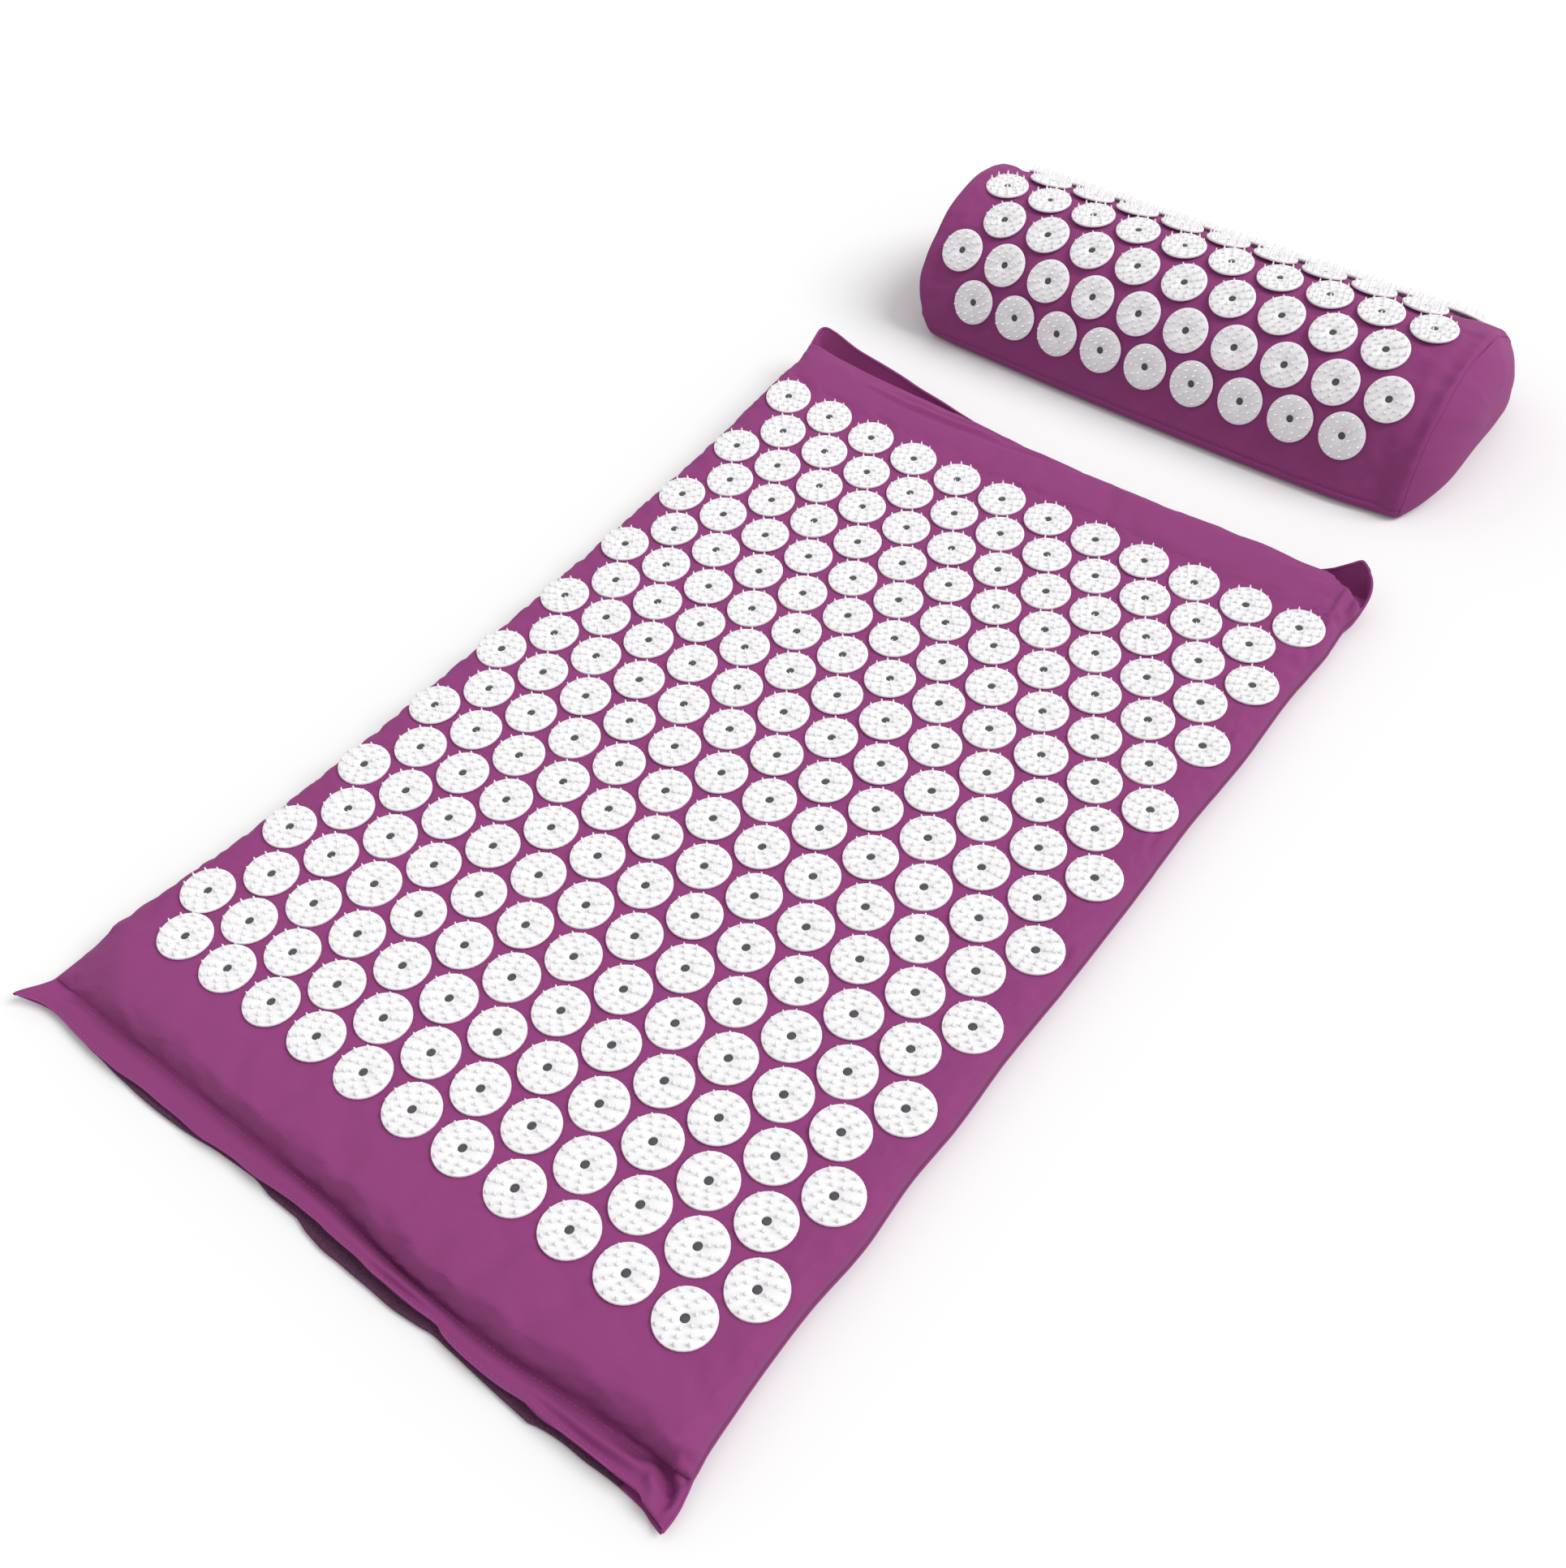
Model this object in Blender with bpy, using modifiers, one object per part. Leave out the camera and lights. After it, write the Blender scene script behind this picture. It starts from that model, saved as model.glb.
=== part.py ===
"""Acupressure mat with its half-round neck pillow, as separate solids.

Units are metres and +Z is up. The mat lies on Z = 0 with its length along Y. The mouth of
its cover, closed by a hook-and-loop tape between two lips, is at -Y. The pillow lies on the
same level beyond the other end, at +Y, across the mat's length.
"""
import math
from collections import namedtuple

import bmesh
import bpy

# Clearance between pieces that touch
SEAT_GAP = 0.0003

# Spiked discs: a base plate with straight edges, and a spike inside each of those edges
DISC_DIAMETER = 0.029
DISC_THICK = 0.0016
SPIKE_HEIGHT = 0.0036
WEB_WIDTH = 0.002
ARC_STEPS = 4

# Disc field of the mat: staggered rows, short and long in turn
MAT_ROWS = 20
MAT_SHORT_ROW = 11
MAT_DISC_GAP = 0.004
MAT_DIAGONAL_GAP = 0.00264
LEFT_MARGIN = 0.0095
RIGHT_MARGIN = 0.0015
NEAR_MARGIN = 0.031
FAR_MARGIN = 0.039

# Foam slab inside the mat
FOAM_THICK = 0.019
FOAM_EDGE_RADIUS = 0.007
FOAM_EDGE_LIMIT_SHARE = 0.45
FOAM_EDGE_STEPS = 2

# Cotton cover of the mat: two panels that meet in a seam along the sides
PANEL_THICK = 0.001
SIDE_EASE = 0.007
FLANGE_DEPTH = 0.011
GROOVE_WIDTH = 0.006
GROOVE_CLEARANCE = 0.0022
CORNER_FLARE = 0.016
NEAR_EAR_REACH = 0.005
FAR_EAR_REACH = 0.019
SEAM_HEIGHT_SHARE = 0.42
LIP_BACK_PULL_SHARE = 0.3
BODY_STATIONS = 6

# Hook-and-loop closure between the lips of the mouth
TAPE_WIDTH = 0.016
TAPE_THICK = 0.002
TAPE_INSET = 0.002
TAPE_MARGIN = 0.001
TAPE_END_MARGIN = 0.0205

# Half-round pillow, of the same discs and cotton
PILLOW_CORNER = 0.008
PILLOW_ROWS = 7
PILLOW_ROW_MARGIN = 0.0366
PILLOW_SHORT_ROW = 9
PILLOW_DISC_GAP = 0.005
PILLOW_LEFT_MARGIN = 0.0065
PILLOW_RIGHT_MARGIN = 0.0165
PILLOW_END_BULGE = 0.012
PILLOW_END_DRAW_SHARE = 0.045
PILLOW_DOME_SHARE = 0.42
PILLOW_CLEARANCE = 0.0558
PILLOW_SHIFT = 0.0038
WRAP_STEPS = 12
CORNER_STEPS = 3

# Shares of the far flange's depth where its section is drawn
FLANGE_SHARES = (0.2, 0.6, 1)
# Shares of the shoulder's width, inward from the seam, with the shares of its rise
BODY_SHOULDER_SHARES = ((0, 0), (0.03, 0.4), (0.17, 0.72), (0.5, 0.93), (1, 1))
LIP_SHOULDER_SHARES = ((0, 0), (0.25, 0.12), (0.5, 0.45), (0.75, 0.85), (1, 1))
BASE_SHOULDER_SHARES = ((0, 1), (0.03, 0.6), (0.17, 0.25), (0.5, 0.06), (1, 0))
# Shares of the flat middle's half width
FLAT_SHARES = (-0.5, 0, 0.5)
# Shares of the pillow's half length where its section is drawn
PILLOW_STATION_SHARES = (-1, -0.96, -0.88, -0.7, 0, 0.7, 0.88, 0.96, 1)
# Shares of a pillow end's outline, from its seam to the middle of its dome
END_RING_SHARES = (1, 0.8, 0.45)

# Powers of the curves: how late the corners flare, the ears stretch and the ends draw in
FLARE_POWER = 8
EAR_POWER = 6
DRAW_POWER = 8
# Edges sharper than this are shaded as creases
CREASE_ANGLE = math.radians(50)

# Sizes that follow
mat_pitch = DISC_DIAMETER + MAT_DISC_GAP
mat_row_spacing = math.sqrt((DISC_DIAMETER + MAT_DIAGONAL_GAP) ** 2 - (mat_pitch / 2) ** 2)
field_width = MAT_SHORT_ROW * mat_pitch + DISC_DIAMETER
field_length = (MAT_ROWS - 1) * mat_row_spacing + DISC_DIAMETER
foam_length = NEAR_MARGIN + field_length + FAR_MARGIN
lip_depth = TAPE_INSET + TAPE_WIDTH + TAPE_MARGIN
cover_width = LEFT_MARGIN + field_width + RIGHT_MARGIN
cover_length = lip_depth + GROOVE_WIDTH + foam_length + FLANGE_DEPTH

seam_half = cover_width / 2 - PANEL_THICK
near_end = -cover_length / 2
far_end = cover_length / 2
lip_back = near_end + lip_depth
foam_near = lip_back + GROOVE_WIDTH
foam_far = foam_near + foam_length
field_x = (LEFT_MARGIN - RIGHT_MARGIN) / 2
field_y = foam_near + NEAR_MARGIN + field_length / 2
foam_half = seam_half - SIDE_EASE
foam_edge = min(FOAM_EDGE_RADIUS, FOAM_EDGE_LIMIT_SHARE * FOAM_THICK)
shoulder_width = SIDE_EASE + foam_edge
tape_length = 2 * (seam_half - TAPE_END_MARGIN)
foam_base = PANEL_THICK + SEAT_GAP
inner_top = foam_base + FOAM_THICK + SEAT_GAP
mat_top = inner_top + PANEL_THICK
sheet_top = PANEL_THICK + SEAT_GAP
lip_top = PANEL_THICK + 2 * TAPE_THICK + 3 * SEAT_GAP
groove_top = PANEL_THICK + GROOVE_CLEARANCE
body_seam = PANEL_THICK + SEAM_HEIGHT_SHARE * FOAM_THICK
end_seam = PANEL_THICK + SEAT_GAP / 2

pillow_pitch = DISC_DIAMETER + PILLOW_DISC_GAP
pillow_row_arc = math.sqrt(pillow_pitch ** 2 - (pillow_pitch / 2) ** 2)
pillow_field = PILLOW_SHORT_ROW * pillow_pitch + DISC_DIAMETER
pillow_length = PILLOW_LEFT_MARGIN + pillow_field + PILLOW_RIGHT_MARGIN
pillow_field_x = (PILLOW_LEFT_MARGIN - PILLOW_RIGHT_MARGIN) / 2
disc_seat_radius = ((PILLOW_ROWS - 1) * pillow_row_arc + 2 * PILLOW_ROW_MARGIN) / math.pi
pillow_radius = disc_seat_radius - DISC_THICK / 2 - SEAT_GAP
pillow_y = far_end + FAR_EAR_REACH + PILLOW_CLEARANCE + pillow_radius

Finish = namedtuple("Finish", "colour roughness")
PURPLE_COTTON = Finish((0.30, 0.066, 0.215, 1), 0.8)
WHITE_PLASTIC = Finish((0.90, 0.87, 0.89, 1), 0.35)
GREY_FOAM = Finish((0.62, 0.62, 0.60, 1), 0.95)
PLUM_TAPE = Finish((0.12, 0.03, 0.09, 1), 0.9)

# One section of the cover: its place, the heights of its top and its side seam, how far in
# from the seam it reaches full height and by which shares, and how far its corners are pulled
Station = namedtuple("Station", "y top seam shoulder shares pull")


# Scene helpers

def clear_objects():
    for old in list(bpy.data.objects):
        bpy.data.objects.remove(old, do_unlink=True)


def make_collection(name):
    collection = bpy.data.collections.new(name)
    bpy.context.scene.collection.children.link(collection)
    return collection


def make_material(name, finish):
    material = bpy.data.materials.new(name)
    material.use_nodes = True
    shader = material.node_tree.nodes["Principled BSDF"]
    shader.inputs["Base Color"].default_value = finish.colour
    shader.inputs["Roughness"].default_value = finish.roughness
    shader.inputs["Metallic"].default_value = 0
    material.diffuse_color = finish.colour
    return material


def make_empty(name, location):
    empty = bpy.data.objects.new(name, None)
    empty.location = location
    parts.objects.link(empty)
    return empty


def add_part(name, data, parent, finish, location=(0, 0, 0), rotation=(0, 0, 0)):
    part = bpy.data.objects.new(name, data)
    part.location = location
    part.rotation_euler = rotation
    part.parent = parent
    part.data.materials.append(make_material(name, finish))
    parts.objects.link(part)
    return part


def surface_mesh(name, rows, closed=False, cap_ends=False, peak=None):
    """Skin rows of points; the faces look to the left of the way from row to row."""
    builder = bmesh.new()
    grid = [[builder.verts.new(point) for point in row] for row in rows]
    count = len(rows[0])
    spans = count if closed else count - 1
    for first, second in zip(grid, grid[1:]):
        for i in range(spans):
            j = (i + 1) % count
            builder.faces.new((first[i], first[j], second[j], second[i]))
    if cap_ends:
        builder.faces.new(list(reversed(grid[0])))
        builder.faces.new(grid[-1])
    if peak:
        top = builder.verts.new(peak)
        for i in range(spans):
            builder.faces.new((grid[-1][i], grid[-1][(i + 1) % count], top))
    mesh = bpy.data.meshes.new(name)
    builder.to_mesh(mesh)
    builder.free()
    mesh.shade_smooth()
    mesh.set_sharp_from_angle(angle=CREASE_ANGLE)
    return mesh


def box_mesh(name, size):
    builder = bmesh.new()
    bmesh.ops.create_cube(builder, size=1)
    bmesh.ops.scale(builder, vec=size, verts=builder.verts)
    mesh = bpy.data.meshes.new(name)
    builder.to_mesh(mesh)
    builder.free()
    return mesh


def add_panel(name, mesh, parent):
    """A cotton panel whose mesh is its inner face."""
    panel = add_part(name, mesh, parent, PURPLE_COTTON)
    skin = panel.modifiers.new("cloth thickness", "SOLIDIFY")
    skin.thickness = PANEL_THICK
    skin.offset = 1


# Disc rows

def add_plates(builder, count, pitch):
    """Flat faces of one row, from its left end: a disc, a web, a disc and so on."""
    radius = DISC_DIAMETER / 2
    web_angle = math.asin(WEB_WIDTH / DISC_DIAMETER)
    web_start = None
    for i in range(count):
        centre = (i - (count - 1) / 2) * pitch
        start = math.pi if i == 0 else math.pi - web_angle
        end = 0 if i == count - 1 else web_angle
        lower = []
        upper = []
        for step in range(ARC_STEPS + 1):
            angle = start + (end - start) * step / ARC_STEPS
            x = centre + radius * math.cos(angle)
            y = radius * math.sin(angle)
            upper.append(builder.verts.new((x, y, -DISC_THICK / 2)))
            if 0 < angle < math.pi:
                lower.append(builder.verts.new((x, -y, -DISC_THICK / 2)))
        builder.faces.new(lower + upper[::-1])
        if web_start:
            builder.faces.new((web_start[0], lower[0], upper[0], web_start[1]))
        web_start = (lower[-1], upper[-1])


def disc_row_mesh(name, count, pitch):
    """One row of discs, joined by webs, with a ring of spikes on each disc."""
    builder = bmesh.new()
    add_plates(builder, count, pitch)
    raised = bmesh.ops.extrude_face_region(builder, geom=builder.faces[:])["geom"]
    corners = [item for item in raised if isinstance(item, bmesh.types.BMVert)]
    bmesh.ops.translate(builder, vec=(0, 0, DISC_THICK), verts=corners)
    bmesh.ops.recalc_face_normals(builder, faces=builder.faces)
    web_corners = 4
    tops = [item for item in raised
            if isinstance(item, bmesh.types.BMFace) and len(item.verts) > web_corners]
    fans = bmesh.ops.poke(builder, faces=tops, center_mode="BOUNDS")["faces"]
    wide = [face for face in fans if face.calc_area() > WEB_WIDTH * DISC_DIAMETER / 2]
    bmesh.ops.poke(builder, faces=wide, offset=SPIKE_HEIGHT, center_mode="MEAN")
    mesh = bpy.data.meshes.new(name)
    builder.to_mesh(mesh)
    builder.free()
    mesh.shade_smooth()
    mesh.set_sharp_from_angle(angle=CREASE_ANGLE)
    return mesh


def add_disc_row(name, count, pitch, parent, location, rotation=(0, 0, 0)):
    add_part(name, disc_row_mesh(name, count, pitch), parent, WHITE_PLASTIC, location, rotation)


def add_mat_disc_rows(parent):
    height = mat_top + SEAT_GAP + DISC_THICK / 2
    for row in range(MAT_ROWS):
        y = field_y + (row - (MAT_ROWS - 1) / 2) * mat_row_spacing
        count = MAT_SHORT_ROW + row % 2
        add_disc_row(f"mat_disc_row_{row + 1:02d}", count, mat_pitch, parent, (field_x, y, height))


def add_pillow_disc_rows(parent):
    step = pillow_row_arc / disc_seat_radius
    for row in range(PILLOW_ROWS):
        lean = ((PILLOW_ROWS - 1) / 2 - row) * step
        location = (pillow_field_x, -disc_seat_radius * math.sin(lean), disc_seat_radius * math.cos(lean))
        count = PILLOW_SHORT_ROW + row % 2
        add_disc_row(f"pillow_disc_row_{row + 1}", count, pillow_pitch, parent, location, (lean, 0, 0))


# Mat cover

def half_width(y):
    return seam_half + CORNER_FLARE * abs(2 * y / cover_length) ** FLARE_POWER


def foam_end_arc(end_y, direction):
    """Stations that carry the upper panel round the foam's top edge at one end."""
    radius = foam_edge + SEAT_GAP
    centre_y = end_y + direction * foam_edge
    stations = []
    for step in range(FOAM_EDGE_STEPS + 1):
        angle = math.pi / 2 * step / FOAM_EDGE_STEPS
        y = centre_y - direction * radius * math.cos(angle)
        top = inner_top - radius + radius * math.sin(angle)
        seam = end_seam + (body_seam - end_seam) * math.sin(angle)
        stations.append(Station(y, top, seam, shoulder_width, BODY_SHOULDER_SHARES, 0))
    return stations


def lip_station(y, top, pull):
    shoulder = half_width(y) - tape_length / 2 - TAPE_MARGIN
    return Station(y, top, end_seam, shoulder, LIP_SHOULDER_SHARES, pull)


def flange_station(share):
    y = foam_far + FLANGE_DEPTH * share
    return Station(y, sheet_top, end_seam, shoulder_width, BODY_SHOULDER_SHARES, FAR_EAR_REACH * share)


def cover_stations():
    """Sections of the cover from the mouth's lips to the far flange."""
    stations = [
        lip_station(near_end, lip_top, -NEAR_EAR_REACH),
        lip_station(lip_back, lip_top, -NEAR_EAR_REACH * LIP_BACK_PULL_SHARE),
        lip_station(lip_back + GROOVE_WIDTH / 2, groove_top, 0),
    ]
    near_arc = foam_end_arc(foam_near, 1)
    far_arc = foam_end_arc(foam_far, -1)
    stations += near_arc
    start = near_arc[-1].y
    finish = far_arc[-1].y
    for i in range(1, BODY_STATIONS):
        y = start + (finish - start) * i / BODY_STATIONS
        stations.append(Station(y, inner_top, body_seam, shoulder_width, BODY_SHOULDER_SHARES, 0))
    stations += far_arc[::-1]
    stations += [flange_station(share) for share in FLANGE_SHARES]
    return stations


def cover_section(station, heights):
    """One section across the cover: heights gives each point's height from the seam inward."""
    half = half_width(station.y)
    flat_half = half - station.shoulder
    side = [(half - station.shoulder * share, height) for share, height in heights]
    middle = [(flat_half * share, side[-1][1]) for share in FLAT_SHARES]
    points = [(-x, z) for x, z in side] + middle + side[::-1]
    return [(x, station.y + station.pull * abs(x / half) ** EAR_POWER, z) for x, z in points]


def top_section(station):
    low = station.seam + SEAT_GAP / 2
    heights = [(share, low + (station.top - low) * rise) for share, rise in station.shares]
    return cover_section(station, heights)


def base_section(station):
    high = station.seam - SEAT_GAP / 2
    rise = high - PANEL_THICK
    heights = [(share, PANEL_THICK + rise * up) for share, up in BASE_SHOULDER_SHARES]
    return cover_section(station, heights)


def add_mat(parent):
    foam_size = (2 * foam_half, foam_length, FOAM_THICK)
    foam_place = (0, (foam_near + foam_far) / 2, foam_base + FOAM_THICK / 2)
    foam_mesh = box_mesh("mat_foam_core", foam_size)
    foam = add_part("mat_foam_core", foam_mesh, parent, GREY_FOAM, foam_place)
    bevel = foam.modifiers.new("soft foam edges", "BEVEL")
    bevel.width = foam_edge
    bevel.segments = FOAM_EDGE_STEPS

    stations = cover_stations()
    top_rows = [top_section(station) for station in stations]
    base_rows = [base_section(station) for station in reversed(stations)]
    add_panel("mat_top_panel", surface_mesh("mat_top_panel", top_rows), parent)
    add_panel("mat_bottom_panel", surface_mesh("mat_bottom_panel", base_rows), parent)

    tape_size = (tape_length, TAPE_WIDTH, TAPE_THICK)
    tape_y = near_end + TAPE_INSET + TAPE_WIDTH / 2
    hook_z = PANEL_THICK + SEAT_GAP + TAPE_THICK / 2
    loop_z = hook_z + TAPE_THICK + SEAT_GAP
    for name, z in (("mat_hook_tape", hook_z), ("mat_loop_tape", loop_z)):
        add_part(name, box_mesh(name, tape_size), parent, PLUM_TAPE, (0, tape_y, z))


# Pillow

def section_outline(inset):
    """Half-round section with rounded lower corners: front seam, over the top, then the base."""
    radius = pillow_radius - PANEL_THICK - inset
    corner = PILLOW_CORNER - PANEL_THICK - inset
    base_z = PANEL_THICK + inset
    corner_z = base_z + corner
    corner_y = math.sqrt((radius - corner) ** 2 - corner_z ** 2)
    seam_angle = math.atan2(corner_z, corner_y)
    over = []
    for step in range(WRAP_STEPS + 1):
        angle = seam_angle + (math.pi - 2 * seam_angle) * step / WRAP_STEPS
        over.append((-radius * math.cos(angle), radius * math.sin(angle)))
    under = []
    for step in range(CORNER_STEPS + 1):
        angle = seam_angle - (math.pi / 2 + seam_angle) * step / CORNER_STEPS
        under.append((corner_y + corner * math.cos(angle), corner_z + corner * math.sin(angle)))
    under += [(0, base_z)] + [(-y, z) for y, z in under[::-1]]
    return over, under


def pull_back_ends(outline):
    """Shorten an open outline by half the seat gap at each end."""
    trimmed = list(outline)
    for end, inner in ((0, 1), (-1, -2)):
        span = math.dist(outline[end], outline[inner])
        share = SEAT_GAP / 2 / span
        trimmed[end] = tuple(a + (b - a) * share for a, b in zip(outline[end], outline[inner]))
    return trimmed


def pillow_ring(outline, x, share):
    """A section of the pillow at x, drawn in towards the ends."""
    scale = 1 - PILLOW_END_DRAW_SHARE * abs(share) ** DRAW_POWER
    return [(x, y * scale, PANEL_THICK + (z - PANEL_THICK) * scale) for y, z in outline]


def pillow_rows(outline, length):
    return [pillow_ring(outline, share * length / 2, share) for share in PILLOW_STATION_SHARES]


def end_rows(outline, side):
    """Rings of one domed pillow end, from its seam to near the middle of the dome."""
    dome_z = PILLOW_DOME_SHARE * pillow_radius
    seam_x = pillow_length / 2 + SEAT_GAP
    rim = pillow_ring(outline, seam_x, 1)
    rows = []
    for share in END_RING_SHARES:
        x = seam_x + PILLOW_END_BULGE * (1 - share ** 2)
        rows.append([(side * x, y * share, dome_z + (z - dome_z) * share) for _, y, z in rim])
    return rows, (side * (seam_x + PILLOW_END_BULGE), 0, dome_z)


def add_pillow(parent):
    over, under = section_outline(0)
    wrap_rows = pillow_rows(pull_back_ends(over), pillow_length)[::-1]
    base_rows = pillow_rows(pull_back_ends(under), pillow_length)[::-1]
    add_panel("pillow_wrap", surface_mesh("pillow_wrap", wrap_rows), parent)
    add_panel("pillow_base_panel", surface_mesh("pillow_base_panel", base_rows), parent)

    foam_over, foam_under = section_outline(SEAT_GAP)
    foam_rows = pillow_rows(foam_over + foam_under[1:-1], pillow_length)[::-1]
    foam = surface_mesh("pillow_foam_core", foam_rows, closed=True, cap_ends=True)
    add_part("pillow_foam_core", foam, parent, GREY_FOAM)

    outline = over + under[1:-1]
    for name, side in (("pillow_end_left", -1), ("pillow_end_right", 1)):
        rows, peak = end_rows(outline, side)
        if side > 0:
            rows = [row[::-1] for row in rows]
        add_panel(name, surface_mesh(name, rows, closed=True, peak=peak), parent)


clear_objects()
parts = make_collection("acupressure_mat")
mat_frame = make_empty("mat_frame", (0, 0, 0))
pillow_frame = make_empty("pillow_frame", (PILLOW_SHIFT, pillow_y, 0))
add_mat(mat_frame)
add_mat_disc_rows(mat_frame)
add_pillow(pillow_frame)
add_pillow_disc_rows(pillow_frame)
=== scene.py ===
"""Acupressure mat and its half-round neck pillow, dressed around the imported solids.

The file is laid out as an add-on: property groups hold the sizes and the colours, each group
of like pieces has its own operator, and main() calls the operators in order. Lengths are in
metres, in the mat's frame: +Y runs from the mouth of the cover towards the pillow, +X to the
right seen from the mouth, +Z up.
"""

import math
import random

import bmesh
import bpy
import numpy as np
from bpy.props import FloatProperty, FloatVectorProperty, PointerProperty
from mathutils import Matrix, Vector, noise


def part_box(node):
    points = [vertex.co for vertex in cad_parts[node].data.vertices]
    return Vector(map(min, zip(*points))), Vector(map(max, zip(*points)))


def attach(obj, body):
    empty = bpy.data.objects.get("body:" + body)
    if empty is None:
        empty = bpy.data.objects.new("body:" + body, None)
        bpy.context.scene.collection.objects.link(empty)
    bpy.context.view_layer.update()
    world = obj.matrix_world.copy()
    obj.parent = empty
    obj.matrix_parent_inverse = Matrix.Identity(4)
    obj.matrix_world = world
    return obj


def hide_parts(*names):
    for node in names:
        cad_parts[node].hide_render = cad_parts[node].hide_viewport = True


bl_info = {
    "name": "Acupressure mat",
    "version": (1, 0, 0),
    "blender": (4, 5, 0),
    "location": "View3D > Sidebar > Acupressure mat",
    "description": "Sewn covers, foam, tapes and spiked discs of a mat and its neck pillow",
    "category": "Object",
}

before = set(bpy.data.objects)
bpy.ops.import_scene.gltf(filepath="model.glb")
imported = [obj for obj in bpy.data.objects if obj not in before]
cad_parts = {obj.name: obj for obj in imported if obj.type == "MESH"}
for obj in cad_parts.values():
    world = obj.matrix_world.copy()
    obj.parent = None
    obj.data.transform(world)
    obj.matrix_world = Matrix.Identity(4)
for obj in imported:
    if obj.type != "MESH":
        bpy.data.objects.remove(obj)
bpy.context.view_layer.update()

# Places read from the frame
FOAM_LOW, FOAM_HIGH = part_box("mat_foam_core")
HOOK_LOW, HOOK_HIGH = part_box("mat_hook_tape")
WRAP_LOW, WRAP_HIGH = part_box("pillow_wrap")

# Counts of the disc rows
MAT_ROWS = 20
MAT_SHORT_ROW = 11
PILLOW_ROWS = 7
PILLOW_SHORT_ROW = 9

# How much further left than even spacing the left end of each row stands, from the mouth on
ROW_STRETCH = (0.0058, 0.0026, 0.0)
# How far the row nearest the mouth stands from its place at its left and its right end
NEAR_ROW_SHIFTS = (0.0013, -0.0012)

# Cover of the mat: how far the mouth stands out from the hook tape, half its width, the widths
# and roundness of its shoulders, the height of its side seams, and the run of its sloping ends
TAPE_INSET = 0.002
COVER_HALF = 0.2015
LEFT_SHOULDER = 0.0095
RIGHT_SHOULDER = 0.0125
FAR_RIGHT_SHOULDER = 0.0055
SHOULDER_POWER = 2.6
LOWER_SHOULDER_POWER = 2.2
SEAM_Z = 0.009
END_SLOPE = 0.0100
FAR_SLOPE = 0.0050
mouth_y = HOOK_LOW.y - TAPE_INSET
cover_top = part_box("mat_top_panel")[1].z
# Height of the cloth that lies on the floor, and how far the flange's two layers stand apart
CLOTH_FLOOR = 0.0008
FLANGE_GAP = 0.0012
# Height where the flange starts, and how much of the flange's height it gains
FLANGE_ROOT = 0.003768
ROOT_RISE = 0.12
# The upper lip swells this much in its middle, and starts to fall to the groove at this share
LIP_HUMP = 0.0012
LIP_LEVEL = 0.35
# How far under the side seam the lower panel ends
UNDER_SEAM = 0.0011
# The least that the upper panel stands off the lower one, and off the foam
LAYER_GAP = 0.0004
FOAM_GAP = 0.0003
# Waves and gathers of the sewn cloth: how long they are
SLOW_WAVE = 0.034
QUICK_WAVE = 0.014
GATHER_PITCH = 0.0075
# The lower panel keeps every third row of its plain middle
LOWER_ROW_STEP = 3
# Width of the cloth that rises beside a disc, as a share of the disc's radius
OPEN_CLOTH_BAND = 0.35
# Seams and tubes have this many sides
TUBE_SIDES = 8

# Closure: rows of the lips that the tapes cover, their gap to the cloth, how far the hook tape
# reaches out at the mouth, and how widely that fades out towards its ends
TAPE_ROWS = 14
TAPE_GAP = 0.00015
HOOK_OVERLAP = 0.0008
HOOK_TAPER = 0.02
# How far the folded hem stands back from the lip's edge
HEM_INSET = 0.0004
# How many stitches are left out at each end of the lip
STITCH_MARGIN = 8
# Where in its pitch a stitch starts and ends
STITCH_SPAN = (0.12, 0.80)
# A stitch: share of its length, height and thickness in thread radii
STITCH_PROFILE = ((0, -0.3, 0.5), (0.2, 0.5, 1), (0.5, 0.8, 1), (0.8, 0.5, 1), (1, -0.3, 0.5))

# Foam of the mat: its clearance to its solid, rounding, step round its section, surface waves,
# and the points of its corners and rings along it
FOAM_CLEARANCE = Vector((0.0012, 0.0012, 0.0004))
FOAM_ROUND = 0.0055
FOAM_STEP = 0.008
FOAM_WAVE = 0.00015
FOAM_WAVE_LENGTH = 0.03
FOAM_CORNER_STEPS = 5
FOAM_RINGS = 60

# Pillow
PILLOW_CORNER = 0.006
pillow_y = (WRAP_LOW.y + WRAP_HIGH.y) / 2
pillow_radius = (WRAP_HIGH.y - WRAP_LOW.y) / 2

# Settling of the cloth: frames, pressure inside, slack gained, and the most a point may move
SETTLE_FRAMES = 20
SETTLE_PRESSURE = 3.0
SETTLE_SLACK = 0.012
SETTLE_MOST = 0.0022

# Sockets of the mix node that take and give colours
MIX_FIRST = 6
MIX_SECOND = 7
MIX_RESULT = 2

# The turns and leans of the discs are drawn from this, row by row
random_places = random.Random(7)


# Settings that a user would change

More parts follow.
